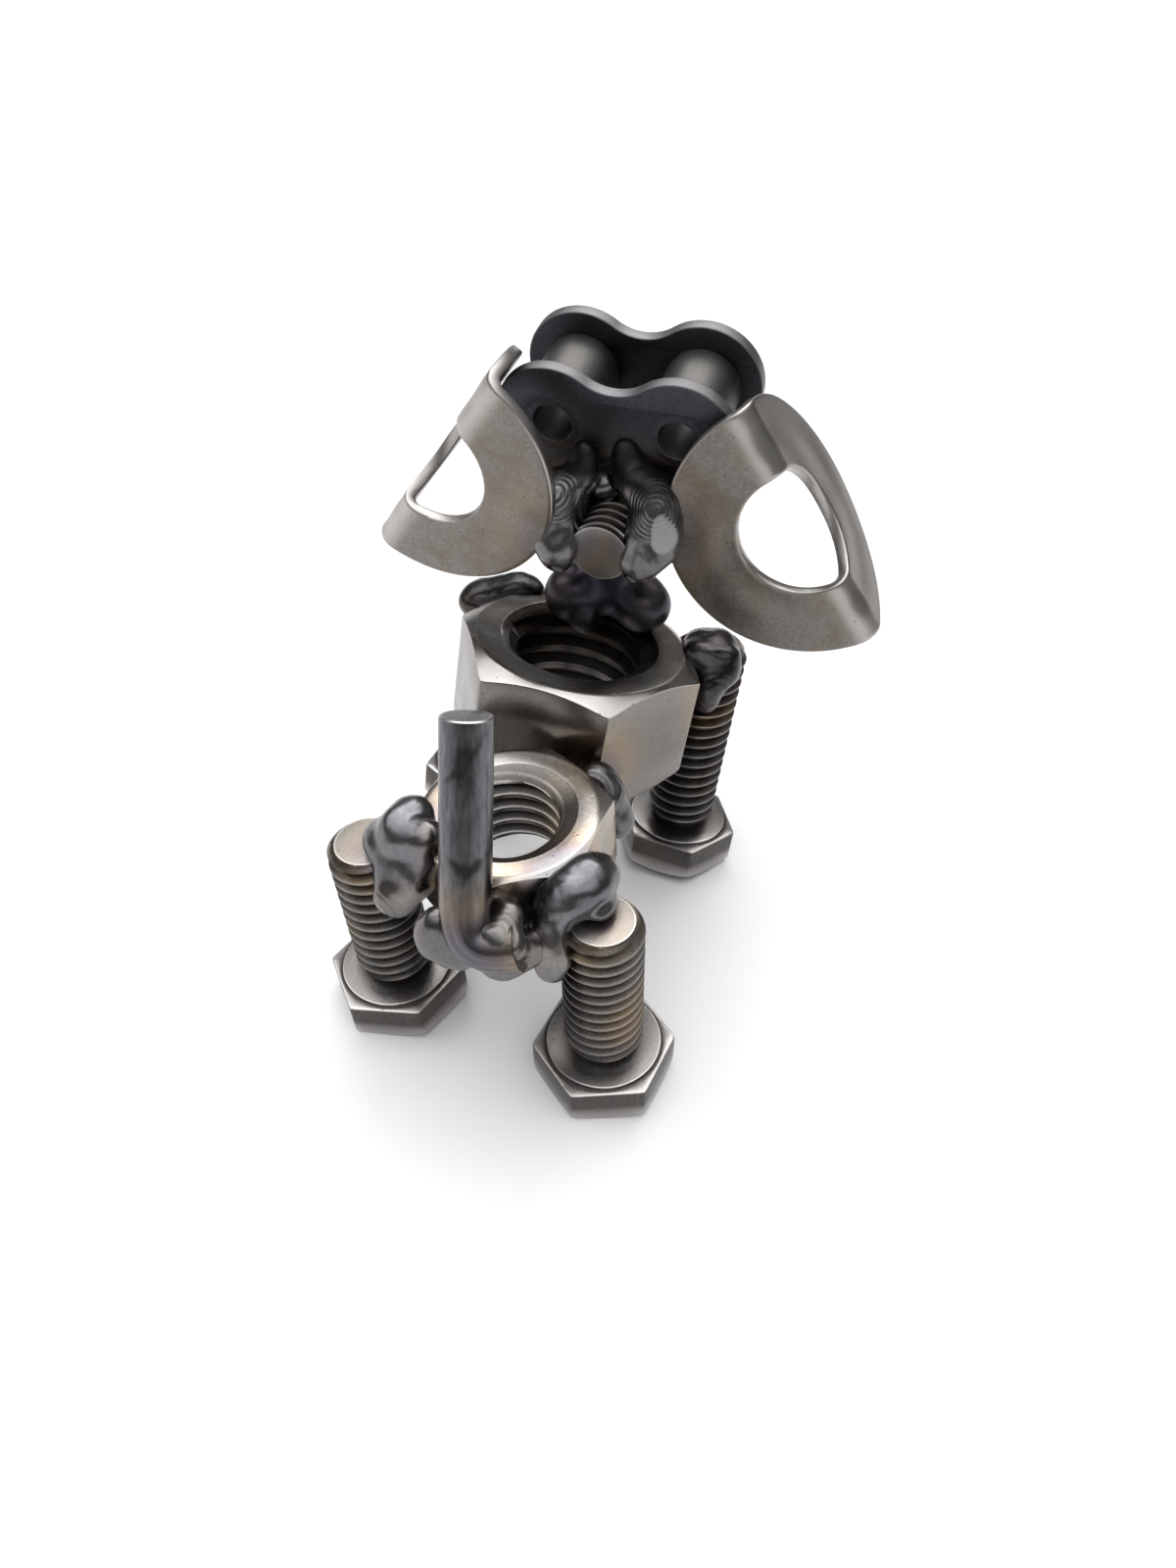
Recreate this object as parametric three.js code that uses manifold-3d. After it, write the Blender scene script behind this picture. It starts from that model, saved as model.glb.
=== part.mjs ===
// A small dog welded from scrap hardware: bolts for legs and nose, nuts for the body,
// a roller chain link for the head, bent washers for ears and a bent rod for the tail.
// Units are millimetres and +Z is up. The dog looks along -Y, so its left side is +X.
import * as THREE from 'three';
import { mergeVertices } from 'three/addons/utils/BufferGeometryUtils.js';
import Module from 'manifold-3d';

const wasm = await Module();
wasm.setup();

// Welded pieces keep this gap, which the weld beads bridge. Beads keep a wider one.
const GAP = 0.2;
const BEAD_GAP = 0.3;

// Depth of a screw thread on both sides together, in pitches, and the share of a bolt's
// hexagon that the chamfer leaves flat on its head.
const THREAD_DEPTH = 1.2;
const HEAD_FACE = 0.95;

// Leg bolts: 5/16 inch coarse thread, standing on their heads.
const LEG_THREAD = 7.94;
const LEG_PITCH = 1.411;
const LEG_HEX = 12.7;
const LEG_HEAD = 4.6;
const LEG_WASHER_FACE = 11.7;
const LEG_WASHER_RISE = 0.4;
const LEG_END_FLAT = 5.7;
const REAR_LEG_SHANK = 18.6;
const FRONT_LEG_SHANK = 24.4;
// How far the low edge of each leaning head is worn flat where it stands.
const FOOT_WEAR = 0.35;

// Chest: a 5/8 inch nut.
const CHEST_HEX = 23.81;
const CHEST_HEIGHT = 13.9;
const CHEST_RING = 22.8;
const CHEST_MOUTH = 16.9;
const CHEST_BORE = 13.5;

// Rump: a 7/16 inch nut.
const RUMP_HEX = 17.5;
const RUMP_HEIGHT = 9.5;
const RUMP_RING = 16.9;
const RUMP_MOUTH = 12.9;
const RUMP_BORE = 9.3;

// Nose and neck: a 1/4 inch bolt that points backwards over the chest nut.
const NOSE_THREAD = 6.3;
const NOSE_PITCH = 1.27;
const NOSE_HEX = 11.1;
const NOSE_HEAD = 4.0;
const NOSE_WASHER_FACE = 10.2;
const NOSE_WASHER_RISE = 0.3;
const NOSE_END_FLAT = 5.4;
const NOSE_SHANK = 19.05;

// Head: an inner link of half inch roller chain, its rollers showing between the plates.
const LINK_PITCH = 12.7;
const LINK_LOBE = 12.0;
const LINK_WAIST = 7.96;
const LINK_PLATE = 1.4;
const LINK_INSIDE = 8.3;
const ROLLER_OUTSIDE = 7.92;
const BUSHING_OUTSIDE = 5.6;
const BUSHING_BORE = 4.1;
// Clearance all round a bushing, in the plates and in its roller.
const BUSHING_FIT = 0.1;
const ROLLER_PLAY = 0.2;

// Ears: two plain washers, each folded square near its middle.
const EAR_OUTSIDE = 27.0;
const EAR_HOLE = 12.5;
const EAR_THICK = 1.2;
const EAR_FOLD_RADIUS = 1.5;

// Tail: a short rod, hooked at its lower end.
const TAIL_ROD = 4.7;
const TAIL_ABOVE_NUT = 16.4;
const TAIL_BELOW_NUT = 5.2;
const TAIL_BEND = 3.4;
const TAIL_HOOK = 5.0;
const TAIL_TURN = 62.5;
const TAIL_HOOK_TURN = 165;
const TAIL_HOOK_RISE = 1.2;

// How the pieces stand on each other.
// Sideways and backward drift of each upright axis, per unit of height.
const CHEST_LEAN = [-0.086, -0.131];
const RUMP_LEAN = [0.072, 0.066];
const REAR_LEFT_LEAN = [0.06, 0.06];
const REAR_RIGHT_LEAN = [0.041, 0.041];
const FRONT_RIGHT_LEAN = [-0.055, -0.101];
const FRONT_LEFT_LEAN = [-0.071, -0.132];
const TAIL_LEAN = [0.12, -0.443];
// Turn of each nut and bolt about its own axis, in degrees to its first corner.
const CHEST_TURN = -1.4;
const RUMP_TURN = 26;
const REAR_LEFT_TURN = 10.4;
const REAR_RIGHT_TURN = 19.4;
const FRONT_RIGHT_TURN = -4.2;
const FRONT_LEFT_TURN = 29.4;
// Heights of the nuts' middles below the ends of the legs they are welded to.
const CHEST_DROP = 4.4;
const RUMP_DROP = 0.9;
// How deep the welds have sunk the pieces into each other: a leg into the chest's face,
// the rump's corner into the chest, and the right rear leg into the rump's corner.
const FACE_MELT = 0.3;
const RUMP_MELT = 0.2;
const CORNER_MELT = 0.9;
// Sideways place of the rump's corner on the chest's back face, and of a leg on its face.
const RUMP_ASIDE = -1.5;
const FRONT_LEFT_ASIDE = -1.8;
// The nose bolt's threaded end, from the middle of the chest nut's top face.
const NECK_RISE = 11.0;
const NOSE_BACK = 0.62;
const NOSE_ASIDE = -1.74;
const NOSE_TILT = [-0.045, -1, 0.1];
// The chain link sits over the nose bolt, this far in front of the bolt's end.
const LINK_FORWARD = 12.45;
const LINK_RISE = 1.9;
const LINK_ASIDE = 0.1;
const LINK_ACROSS = [0.999, -0.049, -0.031];
const LINK_UP = [0.041, 0.223, 0.974];
// Each ear's outer half lies beside a lobe of the link, this far off it. Its centre is then
// placed along the fold and backward from the nose bolt's end.
const LEFT_EAR = { side: 1, off: 0.18, along: 4.2, back: 0.5 };
const RIGHT_EAR = { side: -1, off: 1.26, along: -8.0, back: -2.1 };
const LEFT_EAR_FOLD_AT = 0.5;
const RIGHT_EAR_FOLD_AT = -0.65;
// Where each ear's welded half faces, and the direction of its fold.
const LEFT_EAR_FACES = [0.111, 0.974, -0.199];
const LEFT_EAR_FOLD = [0.564, -0.227, -0.794];
const RIGHT_EAR_FACES = [-0.008, 0.998, -0.049];
const RIGHT_EAR_FOLD = [0.597, 0.044, 0.801];

// Fineness of round things, in sides.
const TURN_SIDES = 8;
const SHANK_SIDES = 16;
const NUT_SIDES = 24;
const ROOM_SIDES = 12;
const CHAMFER = Math.tan(THREE.MathUtils.degToRad(30));

const UP = new THREE.Vector3(0, 0, 1);
const vec = (x, y, z) => new THREE.Vector3(x, y, z);
const lean = ([x, y]) => vec(x, y, 1).normalize();
const radians = THREE.MathUtils.degToRad;

const steel = (color, roughness) =>
  new THREE.MeshStandardMaterial({ color, roughness, metalness: 1 });
const BOLT_STEEL = steel('#6e6a68', 0.42);
const NUT_STEEL = steel('#a09a97', 0.3);
const DARK_STEEL = steel('#2b2a2f', 0.4);
const WASHER_STEEL = steel('#8d8883', 0.45);
const ROD_STEEL = steel('#5f6265', 0.4);
const WELD_STEEL = steel('#77797c', 0.25);

// Booleans: geometry to solid and back.
function toSolid(geometry) {
  let bare = geometry.clone();
  bare.deleteAttribute('normal');
  bare.deleteAttribute('uv');
  bare = mergeVertices(bare, 1e-4);
  const mesh = new wasm.Mesh({
    numProp: 3,
    vertProperties: new Float32Array(bare.attributes.position.array),
    triVerts: new Uint32Array(bare.index.array),
  });
  return new wasm.Manifold(mesh);
}

function toGeometry(solid) {
  const mesh = solid.getMesh();
  const geometry = new THREE.BufferGeometry();
  geometry.setAttribute('position', new THREE.BufferAttribute(mesh.vertProperties, 3));
  geometry.setIndex(new THREE.BufferAttribute(mesh.triVerts, 1));
  return geometry;
}

const join = (solids) => solids.reduce((whole, solid) => whole.add(solid));
const cut = (solid, tools) => tools.reduce((rest, tool) => rest.subtract(tool), solid);

// A solid of revolution about +Z from [radius, height] points that start and end on the axis.
function turned(points, sides) {
  const profile = points.map(([radius, height]) => new THREE.Vector2(radius, height));
  return toSolid(new THREE.LatheGeometry(profile, sides).rotateX(Math.PI / 2));
}

function disc(radius, bottom, top, sides) {
  return turned([[0, bottom], [radius, bottom], [radius, top], [0, top]], sides);
}

// A hexagonal bar with a corner on +X.
function hexBar(acrossFlats, bottom, top) {
  const bar = new THREE.CylinderGeometry(acrossFlats / Math.sqrt(3), acrossFlats / Math.sqrt(3), top - bottom, 6);
  bar.rotateX(Math.PI / 2).rotateZ(Math.PI / 2).translate(0, 0, (top + bottom) / 2);
  return toSolid(bar);
}

// A closed helical thread about +Z, a little longer than asked at both ends.
function thread(outside, inside, pitch, bottom, top, sides) {
  const rows = 2 * Math.ceil((top - bottom) / pitch) + 4;
  const first = bottom - 1.5 * pitch;
  const positions = [];
  for (let row = 0; row <= rows + 2; row += 1) {
    const last = row > rows ? 1 : sides;
    for (let side = 0; side < last; side += 1) {
      const radius = (row % 2 ? inside : outside) / 2;
      const angle = (2 * Math.PI * side) / sides;
      const height = first + pitch * (row / 2 + side / sides);
      positions.push(radius * Math.cos(angle), radius * Math.sin(angle), height);
    }
  }
  const seam = (rows + 1) * sides;
  const at = (side, row) => {
    const turn = side === sides ? 2 : 0;
    const column = side % sides;
    return row + turn > rows ? seam + row + turn - rows - 1 : (row + turn) * sides + column;
  };
  const faces = [];
  for (let row = 0; row < rows; row += 1) {
    for (let side = 0; side < sides; side += 1) {
      faces.push(at(side, row), at(side + 1, row), at(side + 1, row + 1));
      faces.push(at(side, row), at(side + 1, row + 1), at(side, row + 1));
    }
  }
  const low = positions.length / 3;
  positions.push(0, 0, first);
  const high = low + 1;
  positions.push(0, 0, first + pitch * (rows / 2 + 1));
  const ringAt = (row) => [...Array(sides + 1).keys()].map((side) => at(side, row)).concat(at(0, row + 1));
  const close = (ring, centre, flip) => {
    ring.forEach((vertex, index) => {
      const next = ring[(index + 1) % ring.length];
      faces.push(centre, flip ? next : vertex, flip ? vertex : next);
    });
  };
  close(ringAt(0), low, true);
  close(ringAt(rows), high, false);
  const geometry = new THREE.BufferGeometry();
  geometry.setAttribute('position', new THREE.Float32BufferAttribute(positions, 3));
  geometry.setIndex(faces);
  return toSolid(geometry);
}

// A hexagon bolt along +Z. The outer face of its head is at z = 0.
function bolt({ outside, pitch, hex, head, washerFace, washerRise, shank, endFlat }) {
  const inside = outside - THREAD_DEPTH * pitch;
  const seat = head + washerRise;
  const end = seat + shank;
  const face = HEAD_FACE * hex;
  const corner = hex / Math.sqrt(3) + 1;
  const drop = (corner - face / 2) * CHAMFER;
  const headTrim = turned([[0, 0], [face / 2, 0], [corner, drop], [corner, head], [0, head]], NUT_SIDES);
  const room = outside / 2 + 1;
  const endTrim = turned(
    [[0, head / 2], [room, head / 2], [room, end - room + endFlat / 2], [endFlat / 2, end], [0, end]],
    SHANK_SIDES,
  );
  return join([
    hexBar(hex, 0, head).intersect(headTrim),
    disc(washerFace / 2, head - 0.5, seat, NUT_SIDES),
    disc(inside / 2, head / 2, seat + pitch, SHANK_SIDES),
    thread(outside, inside, pitch, seat + pitch / 2, end, TURN_SIDES).intersect(endTrim)
      .subtract(disc(hex, -hex, seat + pitch / 2, 6)),
  ]);
}

function boltRoom({ outside, hex, head, washerRise, shank }, extra) {
  return join([
    disc(outside / 2 + extra, 0, head + washerRise + shank + extra, ROOM_SIDES),
    hexBar(hex + 2 * extra, -extra, head + washerRise + extra),
  ]);
}

// A hexagon nut about +Z, with z = 0 at its middle, chamfered corners and a countersunk bore.
function nut({ hex, height, ring, mouth, bore }) {
  const half = height / 2;
  const corner = hex / Math.sqrt(3) + 1;
  const drop = (corner - ring / 2) * CHAMFER;
  const trim = turned([
    [0, -half], [ring / 2, -half], [corner, drop - half],
    [corner, half - drop], [ring / 2, half], [0, half],
  ], NUT_SIDES);
  const sink = (mouth - bore) / 2 * CHAMFER;
  return cut(hexBar(hex, -half, half).intersect(trim), [
    disc(bore / 2, -height, height, NUT_SIDES),
    coneBetween(bore / 2, half - sink, mouth / 2 + 1, half + CHAMFER),
    coneBetween(mouth / 2 + 1, -half - CHAMFER, bore / 2, sink - half),
  ]);
}

function coneBetween(lowRadius, low, highRadius, high) {
  return turned([[0, low], [lowRadius, low], [highRadius, high], [0, high]], NUT_SIDES);
}

const nutRoom = ({ hex, height }, extra) => hexBar(hex + 2 * extra, -height / 2 - extra, height / 2 + extra);

// Outline of a chain plate: two round lobes joined by a waist of two hollow arcs.
function plateOutline(extra) {
  const lobe = LINK_LOBE / 2 + extra;
  const waist = LINK_WAIST / 2 + extra;
  const reach = LINK_PITCH / 2;
  const hollow = (reach * reach + waist * waist - lobe * lobe) / (2 * (lobe - waist));
  const centre = waist + hollow;
  const slope = Math.atan2(centre, reach);
  const shape = new THREE.Shape();
  shape.absarc(reach, 0, lobe, slope - Math.PI, Math.PI - slope, false);
  shape.absarc(0, centre, hollow, -slope, slope - Math.PI, true);
  shape.absarc(-reach, 0, lobe, slope, -slope, false);
  shape.absarc(0, -centre, hollow, Math.PI - slope, slope, true);
  return shape;
}

function plate(extra, holes) {
  const outline = plateOutline(extra);
  for (const side of holes ? [-1, 1] : []) {
    const hole = new THREE.Path();
    hole.absarc(side * LINK_PITCH / 2, 0, BUSHING_OUTSIDE / 2 + BUSHING_FIT, 0, 2 * Math.PI, true);
    outline.holes.push(hole);
  }
  const depth = LINK_PLATE + 2 * extra;
  const flat = new THREE.ExtrudeGeometry(outline, { depth, bevelEnabled: false, curveSegments: 7 });
  return toSolid(flat.translate(0, 0, -depth / 2));
}

function tube(outside, bore, length) {
  const half = length / 2;
  return disc(outside / 2, -half, half, SHANK_SIDES).subtract(disc(bore / 2, -half - 1, half + 1, SHANK_SIDES));
}

// A washer folded square about its local Y. Local X runs across the fold, and the folded
// half turns towards +Z. The places across the fold are strips, finer round the bend.
function ear(foldAt, extra) {
  const outer = EAR_OUTSIDE / 2 + extra;
  const inner = EAR_HOLE / 2 - extra;
  const thick = EAR_THICK / 2 + extra;
  const arc = EAR_FOLD_RADIUS * Math.PI / 2;
  const start = foldAt - arc / 2;
  const bend = (across, off) => {
    const run = across - start;
    const angle = Math.min(Math.max(run / EAR_FOLD_RADIUS, 0), Math.PI / 2);
    const rest = Math.max(run - arc, 0);
    const inside = EAR_FOLD_RADIUS - off;
    if (run <= 0) return [across, off];
    return [start + inside * Math.sin(angle), EAR_FOLD_RADIUS - inside * Math.cos(angle) + rest];
  };
  const stations = [];
  for (let step = 0; step <= 5; step += 1) {
    const across = outer * Math.cos(step * Math.PI / 15);
    if (across > inner) stations.push(-across, across);
  }
  for (let step = 0; step <= 4; step += 1) {
    const across = inner * Math.cos(step * Math.PI / 9);
    if (-across < start - 0.3) stations.push(-across);
    if (across > start + arc + 0.3) stations.push(across);
  }
  for (let step = 0; step <= 4; step += 1) stations.push(start + arc * step / 4);
  stations.sort((a, b) => a - b);
  const positions = [];
  for (const across of stations) {
    const rim = Math.sqrt(Math.max(outer * outer - across * across, 0));
    const hole = Math.sqrt(Math.max(inner * inner - across * across, 0));
    for (const off of [-thick, thick]) {
      const [x, z] = bend(across, off);
      for (const y of [-rim, -hole, hole, rim]) positions.push(x, y, z);
    }
  }
  const faces = [];
  const quad = (a, b, c, d) => faces.push(a, b, c, a, c, d);
  for (let index = 0; index + 1 < stations.length; index += 1) {
    const here = 8 * index;
    const next = here + 8;
    for (const strip of [0, 2]) {
      quad(here + strip, here + strip + 1, next + strip + 1, next + strip);
      quad(here + 4 + strip, next + 4 + strip, next + 5 + strip, here + 5 + strip);
    }
    quad(here, next, next + 4, here + 4);
    quad(here + 3, here + 7, next + 7, next + 3);
    quad(here + 1, here + 5, next + 5, next + 1);
    quad(here + 2, next + 2, next + 6, here + 6);
  }
  const geometry = new THREE.BufferGeometry();
  geometry.setAttribute('position', new THREE.Float32BufferAttribute(positions, 3));
  geometry.setIndex(faces);
  return sheetSolid(geometry);
}

// Merges a sheet's shared points and drops the faces that its pointed ends leave empty.
function sheetSolid(geometry) {
  const merged = mergeVertices(geometry, 1e-4);
  const corners = [...merged.index.array];
  const kept = [];
  for (let first = 0; first < corners.length; first += 3) {
    const [a, b, c] = corners.slice(first, first + 3);
    if (a !== b && b !== c && c !== a) kept.push(a, b, c);
  }
  const pairs = new Map();
  for (let first = 0; first < kept.length; first += 3) {
    const key = kept.slice(first, first + 3).sort((a, b) => a - b).join();
    pairs.set(key, (pairs.get(key) ?? []).concat(first));
  }
  const double = new Set([...pairs.values()].filter((list) => list.length > 1).flat());
  merged.setIndex(kept.filter((_, index) => !double.has(index - index % 3)));
  return toSolid(merged);
}

// A rod that follows a path with a round bend at each inner point.
function bentRod(points, bendRadius, radius) {
  const path = new THREE.CurvePath();
  let from = points[0];
  for (let index = 1; index + 1 < points.length; index += 1) {
    const corner = points[index];
    const back = from.clone().sub(corner).normalize();
    const ahead = points[index + 1].clone().sub(corner).normalize();
    const half = back.angleTo(ahead) / 2;
    const trim = bendRadius / Math.tan(half);
    const start = corner.clone().addScaledVector(back, trim);
    const stop = corner.clone().addScaledVector(ahead, trim);
    path.add(new THREE.LineCurve3(from, start));
    path.add(new THREE.QuadraticBezierCurve3(start, corner, stop));
    from = stop;
  }
  path.add(new THREE.LineCurve3(from, points.at(-1)));
  const section = new THREE.Shape();
  section.absarc(0, 0, radius, 0, 2 * Math.PI, false);
  return toSolid(new THREE.ExtrudeGeometry(section, { steps: 12, curveSegments: ROOM_SIDES / 2, extrudePath: path }));
}

// Drops of weld metal run together. Each drop is [offset, radii] from a point.
function melted(from, drops, extra) {
  return join(drops.map(([offset, radii]) => {
    const drop = new THREE.SphereGeometry(1, 8, 4).rotateX(Math.PI / 2);
    drop.scale(...radii.map((radius) => radius + extra));
    return toSolid(drop.translate(from.x + offset[0], from.y + offset[1], from.z + offset[2]));
  }));
}

// A weld bead, cut clear of what it holds.
function bead(from, drops, keptClear) {
  const pieces = cut(melted(from, drops, 0), keptClear).decompose();
  return pieces.reduce((largest, piece) => (piece.volume() > largest.volume() ? piece : largest));
}

// Adds a named mesh to the dog, with its solid, place and turn.
const dog = new THREE.Group();
function add(name, solid, material, place = new THREE.Matrix4()) {
  const mesh = new THREE.Mesh(toGeometry(solid), material);
  mesh.name = name;
  place.decompose(mesh.position, mesh.quaternion, mesh.scale);
  dog.add(mesh);
}

// Place of an upright piece: its origin, its leaning axis, and its turn about that axis.
function standing(at, axis, turn) {
  const tilt = new THREE.Quaternion().setFromUnitVectors(UP, axis);
  const spin = new THREE.Quaternion().setFromAxisAngle(UP, radians(turn));
  return new THREE.Matrix4().compose(at, tilt.multiply(spin), vec(1, 1, 1));
}

const moved = (solid, place) => solid.transform(place.elements);
const unmoved = (solid, place) => solid.transform(place.clone().invert().elements);

const CHEST = {
  hex: CHEST_HEX, height: CHEST_HEIGHT, ring: CHEST_RING, mouth: CHEST_MOUTH, bore: CHEST_BORE,
};
const RUMP = {
  hex: RUMP_HEX, height: RUMP_HEIGHT, ring: RUMP_RING, mouth: RUMP_MOUTH, bore: RUMP_BORE,
};
const LEG = {
  outside: LEG_THREAD, pitch: LEG_PITCH, hex: LEG_HEX, head: LEG_HEAD,
  washerFace: LEG_WASHER_FACE, washerRise: LEG_WASHER_RISE, endFlat: LEG_END_FLAT,
};
const REAR_LEG = { ...LEG, shank: REAR_LEG_SHANK };
const FRONT_LEG = { ...LEG, shank: FRONT_LEG_SHANK };
const NOSE = {
  outside: NOSE_THREAD, pitch: NOSE_PITCH, hex: NOSE_HEX, head: NOSE_HEAD,
  washerFace: NOSE_WASHER_FACE, washerRise: NOSE_WASHER_RISE, shank: NOSE_SHANK, endFlat: NOSE_END_FLAT,
};

const legLength = (leg) => leg.head + leg.washerRise + leg.shank;

// A direction square to a leaning axis, at an angle round it from the piece's first corner.
const around = (place, degrees) =>
  vec(Math.cos(radians(degrees)), Math.sin(radians(degrees)), 0).transformDirection(place);

// The chest nut is the part that everything else is placed from.
const chestAxis = lean(CHEST_LEAN);
const chestMiddle = vec(0, 0, legLength(FRONT_LEG) * chestAxis.z - CHEST_DROP);
const chestPlace = standing(chestMiddle, chestAxis, CHEST_TURN);
const chestTop = chestMiddle.clone().addScaledVector(chestAxis, CHEST_HEIGHT / 2);

// The rump nut's corner meets the middle of the chest nut's back face.
const rumpAxis = lean(RUMP_LEAN);
const backward = around(chestPlace, 90);
const rumpMiddle = chestMiddle.clone()
  .addScaledVector(backward, CHEST_HEX / 2 + RUMP_HEX / Math.sqrt(3) - RUMP_MELT
    + RUMP_HEIGHT / 2 * rumpAxis.clone().sub(chestAxis).dot(backward))
  .addScaledVector(around(chestPlace, 0), RUMP_ASIDE);
rumpMiddle.z = legLength(REAR_LEG) - RUMP_DROP;
const rumpPlace = standing(rumpMiddle, rumpAxis, RUMP_TURN);
const rumpTop = rumpMiddle.clone().addScaledVector(rumpAxis, RUMP_HEIGHT / 2);

// A leg whose axis passes a given point beside a nut, standing on the ground.
function legPlace(beside, axis, turn) {
  const tilt = Math.hypot(axis.x, axis.y);
  const lift = HEAD_FACE / 2 * LEG_HEX * tilt - FOOT_WEAR;
  const foot = beside.clone().addScaledVector(axis, (lift - beside.z) / axis.z);
  return standing(foot, axis, turn);
}

function besideNut(middle, place, degrees, reach, aside) {
  return middle.clone()
    .addScaledVector(around(place, degrees), reach)
    .addScaledVector(around(place, degrees + 90), aside);
}

// Front legs lie against the chest nut's side faces, rear legs on the rump nut's corners.
const faceReach = CHEST_HEX / 2 + LEG_THREAD / 2 - FACE_MELT;
const cornerReach = RUMP_HEX / Math.sqrt(3) + LEG_THREAD / 2;
const frontRight = legPlace(
  besideNut(chestMiddle, chestPlace, 210, faceReach, 0),
  lean(FRONT_RIGHT_LEAN), FRONT_RIGHT_TURN,
);
const frontLeft = legPlace(
  besideNut(chestMiddle, chestPlace, -30, faceReach, FRONT_LEFT_ASIDE),
  lean(FRONT_LEFT_LEAN), FRONT_LEFT_TURN,
);
const rearLeft = legPlace(
  besideNut(rumpMiddle, rumpPlace, -6, cornerReach, 0),
  lean(REAR_LEFT_LEAN), REAR_LEFT_TURN,
);
const rearRight = legPlace(
  besideNut(rumpMiddle, rumpPlace, 120, cornerReach - CORNER_MELT, 0),
  lean(REAR_RIGHT_LEAN), REAR_RIGHT_TURN,
);

// The tail leans over the rump nut's back corner, and its hook lies along the next face.
const tailAxis = lean(TAIL_LEAN);
const tailTouch = besideNut(rumpTop, rumpPlace, TAIL_TURN, RUMP_RING / 2 + TAIL_ROD / 2 / tailAxis.z, 0);
const tailFoot = tailTouch.clone().addScaledVector(tailAxis, -TAIL_BELOW_NUT);
const hookEnd = tailFoot.clone()
  .addScaledVector(around(rumpPlace, TAIL_HOOK_TURN), TAIL_HOOK)
  .addScaledVector(UP, TAIL_HOOK_RISE);
const tailPoints = [tailTouch.clone().addScaledVector(tailAxis, TAIL_ABOVE_NUT), tailFoot, hookEnd];

// The nose bolt lies over the front of the chest nut, threaded end to the back.
const noseForward = vec(...NOSE_TILT).normalize();
const noseEnd = chestTop.clone().add(vec(NOSE_ASIDE, NOSE_BACK, NECK_RISE));
const nosePlace = standing(
  noseEnd.clone().addScaledVector(noseForward, legLength(NOSE)),
  noseForward.clone().negate(), 0,
);

// The chain link stands on the nose bolt.
const linkX = vec(...LINK_ACROSS).normalize();
const linkZ = linkX.clone().cross(vec(...LINK_UP)).normalize();
const linkY = linkZ.clone().cross(linkX);
const linkMiddle = noseEnd.clone().addScaledVector(noseForward, LINK_FORWARD)
  .addScaledVector(linkY, NOSE_THREAD / 2 + LINK_RISE + LINK_LOBE / 2)
  .addScaledVector(linkX, LINK_ASIDE);
const inLink = (x, z) => new THREE.Matrix4().makeBasis(linkX, linkY, linkZ)
  .setPosition(linkMiddle.clone().addScaledVector(linkX, x).addScaledVector(linkZ, z));
const plateOff = (LINK_INSIDE + LINK_PLATE) / 2;

// Each ear: local X is where its welded half faces, local Y its fold.
function earPlace(place, faces, fold) {
  const across = vec(...faces).normalize();
  const inward = across.clone().cross(vec(...fold)).normalize();
  const along = inward.clone().cross(across);
  const lobe = vec(0, 0, 0).setFromMatrixPosition(inLink(place.side * LINK_PITCH / 2, -plateOff));
  const beside = lobe.sub(noseEnd).dot(inward) - LINK_LOBE / 2 - EAR_THICK / 2 - place.off;
  const centre = noseEnd.clone()
    .addScaledVector(inward, beside)
    .addScaledVector(along, place.along)
    .addScaledVector(across, place.back);
  return new THREE.Matrix4().makeBasis(across, along, inward).setPosition(centre);
}
const leftEar = earPlace(LEFT_EAR, LEFT_EAR_FACES, LEFT_EAR_FOLD);
const rightEar = earPlace(RIGHT_EAR, RIGHT_EAR_FACES, RIGHT_EAR_FOLD);

// Space that each piece takes, grown by the gap, for cutting its neighbours.
const room = {
  chest: moved(nutRoom(CHEST, GAP), chestPlace),
  rump: moved(nutRoom(RUMP, GAP), rumpPlace),
  rearLeft: moved(boltRoom(REAR_LEG, GAP), rearLeft),
  rearRight: moved(boltRoom(REAR_LEG, GAP), rearRight),
  frontLeft: moved(boltRoom(FRONT_LEG, GAP), frontLeft),
  frontRight: moved(boltRoom(FRONT_LEG, GAP), frontRight),
  tail: bentRod(tailPoints, TAIL_BEND, TAIL_ROD / 2 + GAP),
  nose: moved(boltRoom(NOSE, GAP), nosePlace),
  rearPlate: moved(plate(GAP, false), inLink(0, -plateOff)),
  frontPlate: moved(plate(GAP, false), inLink(0, plateOff)),
  leftEar: moved(ear(LEFT_EAR_FOLD_AT, GAP), leftEar),
  rightEar: moved(ear(RIGHT_EAR_FOLD_AT, GAP), rightEar),
};

// Legs, with the low edge of each head worn flat on the ground.
const ground = toSolid(new THREE.BoxGeometry(400, 400, 20).translate(0, 0, -10));
const legs = [
  ['front_left_leg', FRONT_LEG, frontLeft],
  ['front_right_leg', FRONT_LEG, frontRight],
  ['rear_left_leg', REAR_LEG, rearLeft],
  ['rear_right_leg', REAR_LEG, rearRight],
];
for (const [name, size, place] of legs) {
  add(name, bolt(size).subtract(unmoved(ground, place)), BOLT_STEEL, place);
}

const chestCutters = [room.frontLeft, room.frontRight];
add('chest_nut', cut(nut(CHEST), chestCutters.map((solid) => unmoved(solid, chestPlace))), NUT_STEEL, chestPlace);
const rumpCutters = [room.chest, room.rearLeft, room.rearRight, room.tail];
add('rump_nut', cut(nut(RUMP), rumpCutters.map((solid) => unmoved(solid, rumpPlace))), NUT_STEEL, rumpPlace);
add('tail_rod', bentRod(tailPoints, TAIL_BEND, TAIL_ROD / 2), ROD_STEEL);
add('nose_bolt', bolt(NOSE), BOLT_STEEL, nosePlace);

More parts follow.
